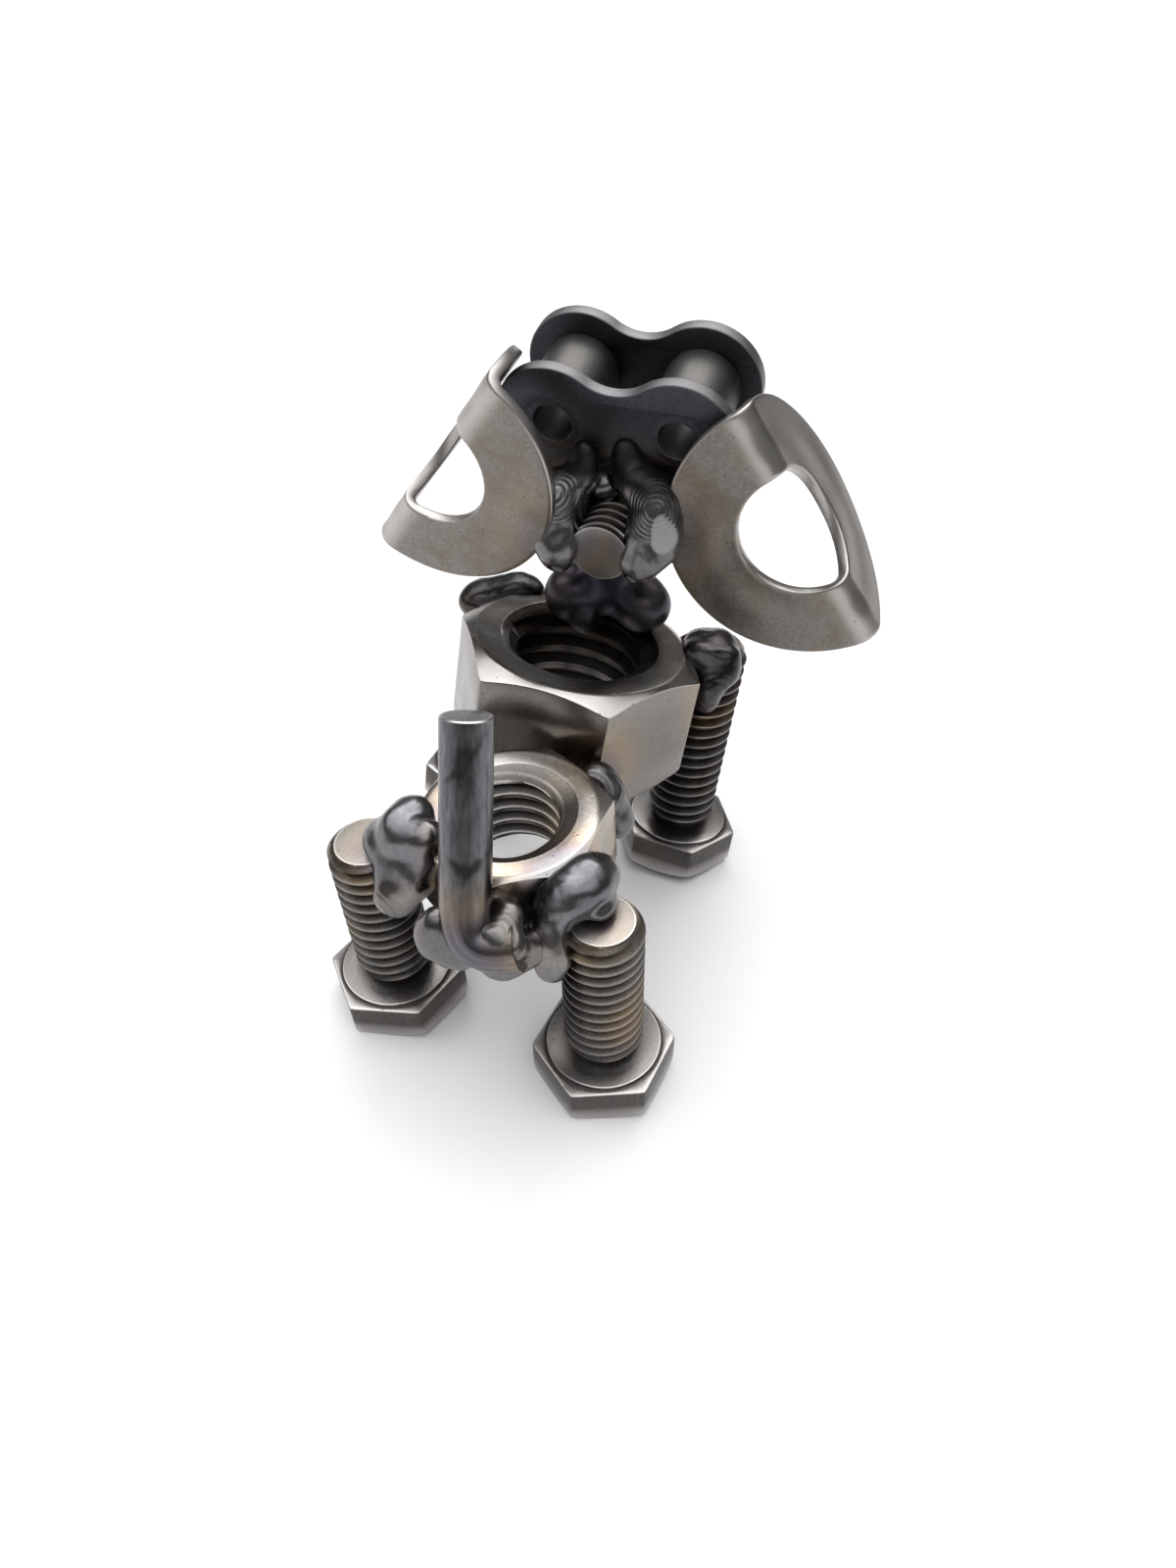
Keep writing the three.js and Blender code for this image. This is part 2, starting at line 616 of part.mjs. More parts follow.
for (const [name, side] of [['rear_link_plate', -1], ['front_link_plate', 1]]) {
  add(name, plate(0, true), DARK_STEEL, inLink(0, side * plateOff));
}
for (const [name, side] of [['right', -1], ['left', 1]]) {
  const at = inLink(side * LINK_PITCH / 2, 0);
  const rollerBore = BUSHING_OUTSIDE + 2 * ROLLER_PLAY;
  add(`${name}_bushing`, tube(BUSHING_OUTSIDE, BUSHING_BORE, LINK_INSIDE + 2 * LINK_PLATE), DARK_STEEL, at);
  add(`${name}_roller`, tube(ROLLER_OUTSIDE, rollerBore, LINK_INSIDE - 2 * ROLLER_PLAY), DARK_STEEL, at);
}

add('left_ear', ear(LEFT_EAR_FOLD_AT, 0), WASHER_STEEL, leftEar);
add('right_ear', ear(RIGHT_EAR_FOLD_AT, 0), WASHER_STEEL, rightEar);

// Weld beads. Each is a few drops run together, cut clear of what it holds.
const endOf = (size, place) => vec(0, 0, legLength(size)).applyMatrix4(place);
const rumpCorner = besideNut(rumpMiddle, rumpPlace, 240, RUMP_HEX / Math.sqrt(3), 0);
const WELDS = {
  rear_left_leg_weld: {
    from: endOf(REAR_LEG, rearLeft),
    clearOf: [room.rump, room.rearLeft],
    drops: [
      [[-3.9, 0.2, 2.2], [2.5, 2.7, 3.1]],
      [[-4.1, 3.2, -2.9], [2.1, 2, 2.4]],
      [[-7, 1, 2.6], [2, 2.1, 2.8]],
      [[-4.6, -1.8, 3.6], [1.7, 1.7, 1.6]],
      [[-2, 0.1, 1.1], [1.9, 2.2, 1.6]],
      [[-6, 2.4, -0.7], [2, 2.1, 2.3]],
    ],
  },
  rear_right_leg_weld: {
    from: endOf(REAR_LEG, rearRight),
    clearOf: [room.rump, room.rearRight],
    drops: [
      [[3.8, 0.4, 1.4], [2.3, 2.3, 2.3]],
      [[2.4, -0.8, 2.3], [2.5, 2.5, 2.4]],
      [[1.5, -2.7, 2.6], [2.2, 2.1, 2]],
      [[4.6, 1.6, -0.9], [1.8, 1.8, 2.5]],
      [[3.7, 3.1, -3], [1.9, 1.8, 3]],
    ],
  },
  tail_weld: {
    from: tailFoot,
    clearOf: [room.rump, room.tail, room.rearRight],
    drops: [
      [[3.1, -1.3, 0], [2.1, 2.1, 3.2]],
      [[1.1, -1.7, -1.1], [2.5, 2.2, 2.6]],
      [[-1, -3.2, -0.3], [2.6, 2.3, 2.6]],
      [[-2.9, -4.8, 1.2], [2, 2, 2.2]],
      [[-1.6, -4.1, 2.3], [1.9, 1.8, 1.5]],
    ],
  },
  body_weld: {
    from: rumpCorner,
    clearOf: [room.rump, room.chest],
    drops: [
      [[-5.2, 1.1, 1.8], [2, 1.8, 2]],
      [[-6.5, 1.8, 0.1], [2, 1.8, 2.3]],
      [[-7.7, 2.2, -2.2], [1.8, 1.7, 2.2]],
    ],
  },
  front_right_leg_weld: {
    from: endOf(FRONT_LEG, frontRight),
    clearOf: [room.chest, room.frontRight],
    drops: [
      [[-0.4, 4.2, -3.2], [1.8, 2.5, 3.2]],
      [[-1.7, 2.8, -1.2], [2, 2.2, 2.4]],
      [[0.7, 3.1, -0.4], [2, 2.1, 2]],
    ],
  },
  front_left_leg_weld: {
    from: endOf(FRONT_LEG, frontLeft),
    clearOf: [room.chest, room.frontLeft],
    drops: [
      [[0.2, 1.8, 0.2], [3.2, 2.8, 1.7]],
      [[-3, 1.1, 1.4], [2.8, 2.2, 1.6]],
      [[1.6, 2.9, -0.5], [2.1, 2, 1.7]],
    ],
  },
  neck_weld: {
    from: chestTop,
    clearOf: [room.chest, room.nose],
    drops: [
      [[-5.2, -6.3, 1.6], [3.1, 3.1, 3.1]],
      [[2.4, -5.3, 2], [3.3, 3, 3.3]],
      [[0.9, -3.7, -0.1], [1.3, 1.3, 1.6]],
      [[-0.9, -8, 2.6], [4, 3.2, 3.6]],
      [[-1.5, -7.5, 6.4], [3.2, 3.4, 3.4]],
    ],
  },
  left_ear_weld: {
    from: noseEnd,
    clearOf: [room.nose, room.leftEar, room.rearPlate],
    drops: [
      [[5.5, -0.7, 1.7], [2, 2.2, 3.5]],
      [[4.1, 0, -0.6], [1.7, 1.8, 2.1]],
      [[5.7, -2.8, 4.3], [2.1, 2.3, 2.4]],
      [[3.8, -3.3, 5.3], [2, 2.2, 2]],
      [[4, -5.2, 2.2], [1.9, 2, 2.4]],
      [[2.9, -3.7, 7.6], [1.7, 1.3, 2.2]],
    ],
  },
  right_ear_weld: {
    from: noseEnd,
    clearOf: [room.nose, room.rightEar, room.rearPlate],
    drops: [
      [[-5.5, -1.6, 2.6], [2.6, 2.6, 3.8]],
      [[-4.2, -1.2, -0.5], [1.9, 2.1, 2.2]],
      [[-4.7, -2.9, 5.5], [2.5, 2.6, 2.5]],
      [[-2.4, -3.9, 6.3], [2.1, 2.2, 2.1]],
      [[-1.1, -4.6, 8.3], [1.7, 1.3, 2.2]],
      [[1.2, -6, 4.5], [2.6, 2.2, 2]],
    ],
  },
};
const frozen = [];
for (const [name, weld] of Object.entries(WELDS)) {
  add(name, bead(weld.from, weld.drops, [...weld.clearOf, ...frozen]), WELD_STEEL);
  frozen.push(melted(weld.from, weld.drops, BEAD_GAP));
}

// The origin is on the ground, under the middle of the whole dog.
dog.updateMatrixWorld(true);
const box = new THREE.Box3().setFromObject(dog, true);
dog.position.set(-(box.min.x + box.max.x) / 2, -(box.min.y + box.max.y) / 2, -box.min.z);

export default dog;
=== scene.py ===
# %% [markdown]
# A small dog welded from scrap hardware stands on a pale floor. Its legs are four bolts,
# its body is two nuts, its head is a link of roller chain on a fifth bolt, which is the
# nose, its ears are folded washers and its tail is a bent rod. The imported solids of all
# these could be shown as they are, but their threads and edges are plain, so each piece
# is made again here, finely, in the place of its solid. First the solids are imported.

import bmesh
import bpy
import numpy as np
from mathutils import Matrix, Vector, noise


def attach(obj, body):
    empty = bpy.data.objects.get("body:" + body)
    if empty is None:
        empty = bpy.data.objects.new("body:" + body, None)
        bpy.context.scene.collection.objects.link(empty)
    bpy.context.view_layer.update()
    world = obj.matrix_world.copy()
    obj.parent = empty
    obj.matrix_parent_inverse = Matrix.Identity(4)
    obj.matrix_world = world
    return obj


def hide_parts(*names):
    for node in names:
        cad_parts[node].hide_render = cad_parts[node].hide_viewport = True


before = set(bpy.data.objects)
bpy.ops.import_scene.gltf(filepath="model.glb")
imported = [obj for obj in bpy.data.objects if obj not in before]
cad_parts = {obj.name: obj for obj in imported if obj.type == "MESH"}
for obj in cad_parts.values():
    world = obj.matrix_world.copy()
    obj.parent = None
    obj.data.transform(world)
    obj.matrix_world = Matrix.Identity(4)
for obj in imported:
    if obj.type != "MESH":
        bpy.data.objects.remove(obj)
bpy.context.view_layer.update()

# %% [markdown]
# Colours are read off a screen as sRGB hex values, but Blender's shaders work in linear
# light. They could be typed as linear numbers, but nobody can picture those, so one
# function turns the one into the other. Another adds a shader node, sets its values and
# links its inputs, so that a long material still reads as a short list of steps.

# %% Colour and node helpers
def linear(code):
    parts = [int(code[i:i + 2], 16) / 255 for i in (1, 3, 5)]
    lit = [p / 12.92 if p <= 0.04045 else ((p + 0.055) / 1.055) ** 2.4 for p in parts]
    return (*lit, 1.0)


def add(tree, kind, inputs=None, **settings):
    node = tree.nodes.new(kind)
    for key, value in settings.items():
        setattr(node, key, value)
    for key, value in (inputs or {}).items():
        if isinstance(value, bpy.types.NodeSocket):
            tree.links.new(value, node.inputs[key])
        else:
            node.inputs[key].default_value = value
    return node


print("mid grey is", [round(v, 3) for v in linear("#808080")])

# %% [markdown]
# All the hardware has sizes in millimetres or inches, while Blender counts in metres. So
# each piece is worked out in millimetres about its own axis, and a place says where that
# axis stands on the dog. Primitives and modifiers could make the shapes too, but rows of
# points hold threads and chamfers to their real sizes. One function skins such rows.

# %% Places, rings and skins
MM = 0.001


def place(at, across, up):
    z = np.array(up) / np.linalg.norm(up)
    x = np.array(across) - z * np.dot(across, z)
    x /= np.linalg.norm(x)
    return np.array(at, float), np.array([x, np.cross(z, x), z])


def put(points, where):
    at, axes = where
    return np.asarray(points) @ axes + at


def around(sides):
    return np.arange(sides) * 2 * np.pi / sides


def ring(radius, height, angle):
    radius = np.broadcast_to(radius, angle.shape)
    height = np.broadcast_to(height, angle.shape)
    return np.stack([radius * np.cos(angle), radius * np.sin(angle), height], 1)


def skin(rows, closed=False):
    rows = np.asarray(rows)
    count, sides = rows.shape[:2]
    here = np.arange(sides)
    after = (here + 1) % sides
    faces = []
    for row in range(count if closed else count - 1):
        low, high = row * sides, (row + 1) % count * sides
        faces += np.stack([low + here, low + after, high + after, high + here], 1).tolist()
    return rows.reshape(-1, 3), faces


print("a ring of", len(ring(1.0, 0.0, around(96))), "points is ready to be skinned")

# %% [markdown]
# A torch marks more than its bead: the steel around it grew a thin skin of oxide, which
# looks straw, brown, purple or blue by how hot it became. That could be painted on each
# piece, but it has to run on from one piece to the next. So every point gets a mark,
# scorch, from how near it lies to the places where the torch stood.

# %% Heat of the torch
FULL_HEAT = 3.0   # mm from the torch within which the mark is full
HEAT_FADE = 2.6   # mm over which it falls to a third
TORCH = [         # x, y, z in mm, and how much of the heat came there
    (12.4, 21.0, 25.6, 1),
    (-4.6, 22.6, 25.6, 1),
    (2.6, 28.0, 22.0, 1),
    (-4.2, 7.4, 23.4, 1),
    (-10.6, -11.6, 27.6, 1),
    (14.6, -15.4, 30.6, 1),
    (2.8, -14.4, 34.0, 1),
    (6.4, -8.6, 44.8, 1),
    (-3.6, -8.6, 44.8, 1),
    (-1.8, 13.9, 21.8, 0.34),
    (-12.6, 24.0, 12.0, 0.3),
    (19.0, 20.0, 13.0, 0.25),
]


def scorched(points):
    heat = []
    for *spot, most in TORCH:
        apart = np.linalg.norm(points - spot, axis=1)
        heat.append(most * np.exp(-np.maximum(apart - FULL_HEAT, 0) / HEAT_FADE))
    return np.max(heat, axis=0)


print("heat came from", len(TORCH), "places")

# %% [markdown]
# Each separate piece of hardware becomes one mesh with one finish, which stands for its
# solid. Flat shading would show every facet, and smooth shading would make steel look
# like rubber, so the shading is smooth but stays sharp at real edges. Two more marks on
# the mesh lighten and darken its colour: one on raised edges, partly rubbed wear and partly
# painted highlight, and one in hollows, partly grime and partly painted shade. A rod also
# carries its grain, which is the way its drawing lines run.

# %% One piece of hardware
SAME_POINT = 2e-6   # metres under which two points are one
NO_LENGTH = 1e-6    # metres under which an edge is none


def shown(name, data):
    holder = bpy.data.objects.new(name, data)
    bpy.context.scene.collection.objects.link(holder)
    return holder


def piece(name, points, faces, finish, rubbed_and_highlight, grime_and_shade, sharp=32, grain=None):
    points = np.asarray(points)
    mesh = bpy.data.meshes.new(name)
    mesh.from_pydata((points * MM).tolist(), [], faces)
    # The first two marks are painted highlight with wear, and painted shade with grime.
    for mark, values in (("rubbed_and_highlight", rubbed_and_highlight), ("grime_and_shade", grime_and_shade), ("scorch", scorched(points))):
        layer = mesh.attributes.new(mark, "FLOAT", "POINT")
        layer.data.foreach_set("value", np.array(np.broadcast_to(values, len(points)), float))
    if grain is not None:
        layer = mesh.attributes.new("grain", "FLOAT_VECTOR", "POINT")
        layer.data.foreach_set("vector", np.asarray(grain, float).ravel())
    cleaned = bmesh.new()
    cleaned.from_mesh(mesh)
    bmesh.ops.remove_doubles(cleaned, verts=cleaned.verts, dist=SAME_POINT)
    bmesh.ops.dissolve_degenerate(cleaned, edges=cleaned.edges, dist=NO_LENGTH)
    bmesh.ops.recalc_face_normals(cleaned, faces=cleaned.faces)
    cleaned.to_mesh(mesh)
    cleaned.free()
    mesh.shade_smooth()
    mesh.set_sharp_from_angle(angle=np.radians(sharp))
    mesh.materials.append(finish)
    made = shown(name, mesh)
    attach(made, "root")
    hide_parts(name)
    print(name, len(mesh.polygons), "faces")
    return made


print("two points closer than", SAME_POINT / MM, "mm become one")

# %% [markdown]
# The camera looks down on the dog from behind, a little from its right side. It could be
# moved about until the picture fits, but then its lens would be a guess too. Instead, its
# place and lens come from lining up the leg bolts' real sizes with their outlines in the
# photograph. The picture is taller than wide, so its height spans the sensor.

# %% Camera
EYE = np.array([-22.622, 87.636, 98.7])
LOOK = np.array([0.186, -0.723, -0.665])
RIGHT = np.array([-0.960, -0.278, 0.034])
SENSOR = 36
FOCAL_PIXELS, PICTURE_HEIGHT = 1125, 1600
camera_data = bpy.data.cameras.new("camera")
camera_data.sensor_width = SENSOR
camera_data.lens = FOCAL_PIXELS * SENSOR / PICTURE_HEIGHT
camera_data.clip_start = 5 * MM
camera = shown("camera", camera_data)
back = -LOOK / np.linalg.norm(LOOK)
side = RIGHT - back * np.dot(RIGHT, back)
side /= np.linalg.norm(side)
basis = Matrix(np.array([side, np.cross(back, side), back]).T.tolist()).to_4x4()
camera.matrix_world = Matrix.Translation(Vector(EYE * MM)) @ basis
bpy.context.scene.camera = camera
print("camera at", [round(v, 4) for v in camera.matrix_world.translation])
print("lens", round(camera_data.lens, 2), "mm")

# %% [markdown]
# Bare steel shows whatever is around it, so the room matters as much as the metal. A
# picture of a real room would do, but a ramp of greys from the floor to the ceiling can
# be tuned: it is darkest just above the floor, which draws the dark bands on upright
# faces, and white overhead, which makes level faces bright.

# %% Room
ROOM_GLOW = 1.8
SKY = [
    (0.0, "#6b6a69"),
    (0.1, "#474645"),
    (0.42, "#565656"),
    (0.6, "#8b8b8c"),
    (0.8, "#f0f1f3"),
    (1.0, "#ffffff"),
]


def paint_ramp(ramp, tones):
    ramp.elements[0].color = linear(tones[0][1])
    ramp.elements[1].color = linear(tones[-1][1])
    for at, tone in tones[1:-1]:
        ramp.elements.new(at).color = linear(tone)


room = bpy.data.worlds.new("room")
bpy.context.scene.world = room
room.use_nodes = True
tree = room.node_tree
tree.nodes.clear()
place_in_room = add(tree, "ShaderNodeTexCoord")
height = add(tree, "ShaderNodeSeparateXYZ", {0: place_in_room.outputs["Generated"]})
walls = add(tree, "ShaderNodeValToRGB", {0: height.outputs["Z"]})
paint_ramp(walls.color_ramp, SKY)
backdrop = add(tree, "ShaderNodeBackground", {"Color": walls.outputs[0], "Strength": ROOM_GLOW})
add(tree, "ShaderNodeOutputWorld", {"Surface": backdrop.outputs[0]})
print("the room has", len(walls.color_ramp.elements), "tones")

# %% [markdown]
# The floor is a sheet of pale paper, wide enough to have no edge in any view. A curved
# backdrop would hide the line behind it, but from above nobody sees that line.

# %% Floor
FLOOR_HALF = 6   # metres
floor_mesh = bpy.data.meshes.new("floor")
corners = [(x * FLOOR_HALF, y * FLOOR_HALF, 0) for x, y in ((-1, -1), (1, -1), (1, 1), (-1, 1))]
floor_mesh.from_pydata(corners, [], [(0, 1, 2, 3)])
floor = shown("floor", floor_mesh)

# Uncoated paper: matt and nearly white, so it takes soft shadows and mirrors nothing.
paper = bpy.data.materials.new("pale paper")
paper.use_nodes = True
paper.node_tree.nodes["Principled BSDF"].inputs["Base Color"].default_value = linear("#f2f1f1")
paper.node_tree.nodes["Principled BSDF"].inputs["Roughness"].default_value = 0.7
floor_mesh.materials.append(paper)
print("the floor is", 2 * FLOOR_HALF, "metres wide")

# %% [markdown]
# The light is that of a bright room. A big soft window stands high beyond the dog, a
# weaker one at its left side, and a faint one fills in from the camera's side. Small
# lamps would give hard spots on the steel, so each window is a wide area light. A
# skylight, a sun seen as a disc 60 degrees wide, lays a soft shadow under the dog.

# %% Windows and skylight
DOG_MIDDLE = Vector((0, 0, 0.03))


def window(name, at, size, power):
    data = bpy.data.lights.new(name, "AREA")
    data.shape = "RECTANGLE"
    data.size, data.size_y = size
    data.energy = power
    made = shown(name, data)
    made.location = at
    made.rotation_euler = (Vector(at) - DOG_MIDDLE).to_track_quat("Z", "Y").to_euler()


window("far window", (0.05, -0.42, 0.5), (0.5, 0.3), 0.9)
window("left window", (0.5, 0.05, 0.42), (0.3, 0.3), 0.4)
window("near fill", (-0.25, 0.5, 0.6), (0.4, 0.4), 0.2)
sky_data = bpy.data.lights.new("skylight", "SUN")
sky_data.energy = 0.9
sky_data.angle = np.radians(60)
sky = shown("skylight", sky_data)
sky.rotation_euler = Vector((0.2, -0.35, 1.0)).to_track_quat("Z", "Y").to_euler()
bpy.context.scene.view_settings.view_transform = "Standard"
print("three windows and a skylight")

# %% [markdown]
# The steel. All of this hardware is carbon steel, bare or with its thin zinc worn off. A
# photographed texture would need a seam on every piece, so the finish is mixed from
# noise that is measured in real millimetres. A metal's colour is the colour of its
# reflection. The first step is the bare skin: sandy specks from rolling, or fine lines
# where it was drawn through a die, under broad patches of a thin brown film.

# %% Steel: specks and film
SPECK_MM = 0.3      # sandy specks of the rolled skin
SKIN_MM = 4.0       # broad patches of thin oxide
LINE_MM = 0.3917    # lines that a die leaves are finer, and are drawn this coarse to show
SHARE, UNDER, OVER, MIXED = 0, 6, 7, 2   # sockets of a Mix node that mixes colours


def specks_in(tree, where, drawn):
    if drawn:
        grain = add(tree, "ShaderNodeAttribute", attribute_name="grain").outputs["Vector"]
        return add(tree, "ShaderNodeTexNoise", {
            "Vector": grain, "Scale": 1 / LINE_MM, "Detail": 5.0}).outputs[0]
    return add(tree, "ShaderNodeTexNoise", {
        "Vector": where, "Scale": 1 / (SPECK_MM * MM), "Detail": 3.0}).outputs[0]


def skin_colour(tree, specks, broad, bright, dull, stain, stain_share):
    mottle = add(tree, "ShaderNodeMapRange", {
        "Value": specks, "From Min": 0.32, "From Max": 0.68})
    colour = add(tree, "ShaderNodeMix", {
        SHARE: mottle.outputs[0], UNDER: linear(dull), OVER: linear(bright)}, data_type="RGBA")
    film = add(tree, "ShaderNodeMapRange", {
        "Value": broad, "From Min": 0.42, "From Max": 0.68, "To Max": stain_share})
    filmed = add(tree, "ShaderNodeMix", {
        SHARE: film.outputs[0], UNDER: colour.outputs[MIXED], OVER: linear(stain)}, data_type="RGBA")
    return filmed.outputs[MIXED]


print("specks are", SPECK_MM, "mm wide and patches of film", SKIN_MM, "mm")

# %% [markdown]
# The second step lays colour over the skin where the marks ask for it. Heat tints run
# from pale straw at the edge of the heat through gold, brown and purple to blue grey, as
# they do on a real weld. Edges are painted bright, as rubbed metal and as highlight, and
# hollows nearly black, as oil and dust and as painted shade. Last come the pits that cold
# heading leaves, as small dark dots. Each could
# be a texture of its own, but the marks and one cell pattern cost nothing to fit.

# %% Steel: heat, wear, painted light and pits
PIT_EVERY_MM = 1.5   # how far apart the pits are
# The bright tone paints highlights on edges as well as rubbed metal; the black one paints shade in hollows
# as well as grime.
RUBBED_AND_HIGHLIGHT_TONE, GRIME_AND_SHADE_BLACK, PIT_BLACK = "#d0cdca", "#161314", "#2a2524"
TEMPER = [(0.0, "#a99a7c"), (0.3, "#c9a04e"), (0.55, "#77574a"), (0.8, "#54475a"), (1.0, "#3d434f")]
TINT_MOST = 0.28     # how much of a heat tint shows where the steel became hottest


def heat_tint(tree, colour, scorch, tinted):
    temper = add(tree, "ShaderNodeValToRGB", {0: scorch})
    paint_ramp(temper.color_ramp, TEMPER)
    warmth = add(tree, "ShaderNodeMapRange", {
        "Value": scorch, "From Min": 0.06, "From Max": 0.6, "To Max": TINT_MOST * tinted})
    return add(tree, "ShaderNodeMix", {
        SHARE: warmth.outputs[0], UNDER: colour, OVER: temper.outputs[0]},
        data_type="RGBA").outputs[MIXED]


def wear_and_painted_light(tree, colour, rubbed_and_highlight, grime_and_shade):
    # Painted highlight and wear brighten the edges; painted shade and grime darken the hollows.
    rubbed_and_highlit = add(tree, "ShaderNodeMix", {
        SHARE: rubbed_and_highlight, UNDER: colour, OVER: linear(RUBBED_AND_HIGHLIGHT_TONE)}, data_type="RGBA")
    return add(tree, "ShaderNodeMix", {
        SHARE: grime_and_shade, UNDER: rubbed_and_highlit.outputs[MIXED], OVER: linear(GRIME_AND_SHADE_BLACK)},
        data_type="RGBA").outputs[MIXED]


def pits_in(tree, where, depth):
    cells = add(tree, "ShaderNodeTexVoronoi", {
        "Vector": where, "Scale": 1 / (PIT_EVERY_MM * MM), "Randomness": 1.0})
    return add(tree, "ShaderNodeMapRange", {
        "Value": cells.outputs["Distance"], "From Min": 0.05, "From Max": 0.12,
        "To Min": depth, "To Max": 0.0}).outputs[0]


print("pits are", PIT_EVERY_MM, "mm apart, and there are", len(TEMPER), "heat tints")

# %% [markdown]
# The third step is gloss and relief. Steel that is handled is never evenly smooth: its
# roughness drifts with the film, and grime makes it matt. Scratches, specks and pits are
# too shallow to model, and bump is enough for them, because they change no outline.

# %% Steel: gloss and relief
SCRATCH_MM = 0.12       # real scratches are finer, and are drawn this coarse to show
SCRATCH_DEPTH = 0.02    # mm
SPECK_DEPTH = 0.05      # mm
PIT_DEPTH = 0.05        # mm
GRIME_MATT = 0.25       # roughness that grime adds


def roughness_of(tree, broad, grime_and_shade, rough):
    gloss = add(tree, "ShaderNodeMapRange", {
        "Value": broad, "From Min": 0.35, "From Max": 0.65,
        "To Min": rough + 0.05, "To Max": rough - 0.04})
    return add(tree, "ShaderNodeMath", {
        0: grime_and_shade, 1: GRIME_MATT, 2: gloss.outputs[0]}, operation="MULTIPLY_ADD").outputs[0]


def relief(tree, where, specks, pit, sandy):
    scratch = add(tree, "ShaderNodeTexNoise", {
        "Vector": where, "Scale": 1 / (SCRATCH_MM * MM), "Detail": 2.0})
    fine = add(tree, "ShaderNodeBump", {
        "Height": scratch.outputs[0], "Strength": sandy, "Distance": SCRATCH_DEPTH * MM})
    coarse = add(tree, "ShaderNodeBump", {
        "Height": specks, "Strength": sandy, "Distance": SPECK_DEPTH * MM,
        "Normal": fine.outputs[0]})
    return add(tree, "ShaderNodeBump", {
        "Height": pit, "Strength": 0.4, "Distance": PIT_DEPTH * MM,
        "Normal": coarse.outputs[0]}, invert=True).outputs[0]


print("scratches are drawn", SCRATCH_MM, "mm wide")

# %% [markdown]
# One recipe takes these steps in turn, so every finish differs from the next only in a
# few plain numbers: two tones of the skin, the colour of the film and how much of it
# there is, how rough, pitted and sandy it is, whether it was drawn, and how much heat
# tint it took. Steel is a metal through and through, so it keeps the default index of
# refraction and is fully metallic.

# %% Steel: the recipe
def worn_steel(name, bright, dull, stain, rough, stain_share=0.4, pits=0.4, sandy=0.12,
               drawn=False, tinted=1.0):
    made = bpy.data.materials.new(name)
    made.use_nodes = True
    tree = made.node_tree
    shader = tree.nodes["Principled BSDF"]
    where = add(tree, "ShaderNodeTexCoord").outputs["Object"]
    rubbed_and_highlight, grime_and_shade, scorch = (add(tree, "ShaderNodeAttribute", attribute_name=mark).outputs["Fac"]
                              for mark in ("rubbed_and_highlight", "grime_and_shade", "scorch"))
    specks = specks_in(tree, where, drawn)
    broad = add(tree, "ShaderNodeTexNoise", {
        "Vector": where, "Scale": 1 / (SKIN_MM * MM), "Detail": 4.0, "Roughness": 0.6}).outputs[0]
    pit = pits_in(tree, where, pits)
    colour = skin_colour(tree, specks, broad, bright, dull, stain, stain_share)
    colour = heat_tint(tree, colour, scorch, tinted)
    colour = wear_and_painted_light(tree, colour, rubbed_and_highlight, grime_and_shade)
    spotted = add(tree, "ShaderNodeMix", {
        SHARE: pit, UNDER: colour, OVER: linear(PIT_BLACK)}, data_type="RGBA")
    tree.links.new(spotted.outputs[MIXED], shader.inputs["Base Color"])
    tree.links.new(roughness_of(tree, broad, grime_and_shade, rough), shader.inputs["Roughness"])
    tree.links.new(relief(tree, where, specks, pit, sandy), shader.inputs["Normal"])
    shader.inputs["Metallic"].default_value = 1.0
    print(name, "roughness about", rough)
    return made


print("the recipe for worn steel is ready")

# %% [markdown]
# Bolts and nuts. Both were cold headed or cold formed from wire, which leaves pits and a
# dull skin on the flats. They could share one steel, but in the photograph the nose bolt
# is darkened by heat and the rump nut is rubbed pale, so each has its own.

# %% Bolt and nut steels
# Cold headed: a sandy, middling grey that glints in specks.
bolt_steel = worn_steel("cold headed bolt steel", "#5d5b59", "#4a4846", "#5a4d47", 0.32, sandy=0.3)

# Headed, then heated through by the weld: a dark purplish skin with broad dull highlights.
nose_steel = worn_steel("heat darkened bolt steel", "#4d4b4b", "#434141", "#4f3a40", 0.36, pits=0.1)

# Pressed in a smooth die: clear, slightly warm mirror bands on flat faces.
chest_steel = worn_steel("cold formed nut steel", "#787572", "#6a6764", "#6b6058", 0.24, sandy=0.08)

# Pressed, then rubbed by hands: the palest steel, with the most straw and brown in it.
rump_steel = worn_steel("hand rubbed nut steel", "#a3a09e", "#8e8b88", "#81766c", 0.26, sandy=0.08,
                        tinted=2.0)

# %% [markdown]
# Rod, chain and washers. A rod is drawn through a die, chain plates are stamped and kept
# in black oil, rollers are ground round, and washers are stamped from rolled sheet and
# are left as they are. One grey would do from afar, but close by each reflects the room
# in its own way.

# %% Rod, chain and washer steels
# Drawn: cool grey with fine lines along the rod, which stretch its highlight.
rod_steel = worn_steel("drawn rod steel", "#76777a", "#525356", "#545458", 0.3, pits=0.1, drawn=True)

# Stamped and oiled black: dark and even, with soft wide highlights and little relief.
chain_steel = worn_steel("oil black chain steel", "#4e4d53", "#424147", "#3d3c42", 0.48, pits=0.2,
                         sandy=0.25)

# Ground round, then oiled: a smoother brown black, with one soft stripe of light.
roller_steel = worn_steel("ground roller steel", "#474543", "#3e3c3a", "#3b3936", 0.44, pits=0.2)

# Stamped from sheet: pale and warm, with cloudy olive stains and a fine sandy shimmer.
washer_steel = worn_steel("stamped washer steel", "#827d79", "#716b67", "#645e50", 0.34,
                          stain_share=0.7, sandy=0.15, tinted=0.4)

# %% [markdown]
# Weld metal froze from liquid, so it is smoother than any of the hardware. How it looks
# comes from its last moments in the heat. It could be one silver, but the photograph
# shows clean beads at the rear legs, dull ones at the body, tail and ears, a blue black
# one under the nose, and sooty ones on the front legs.

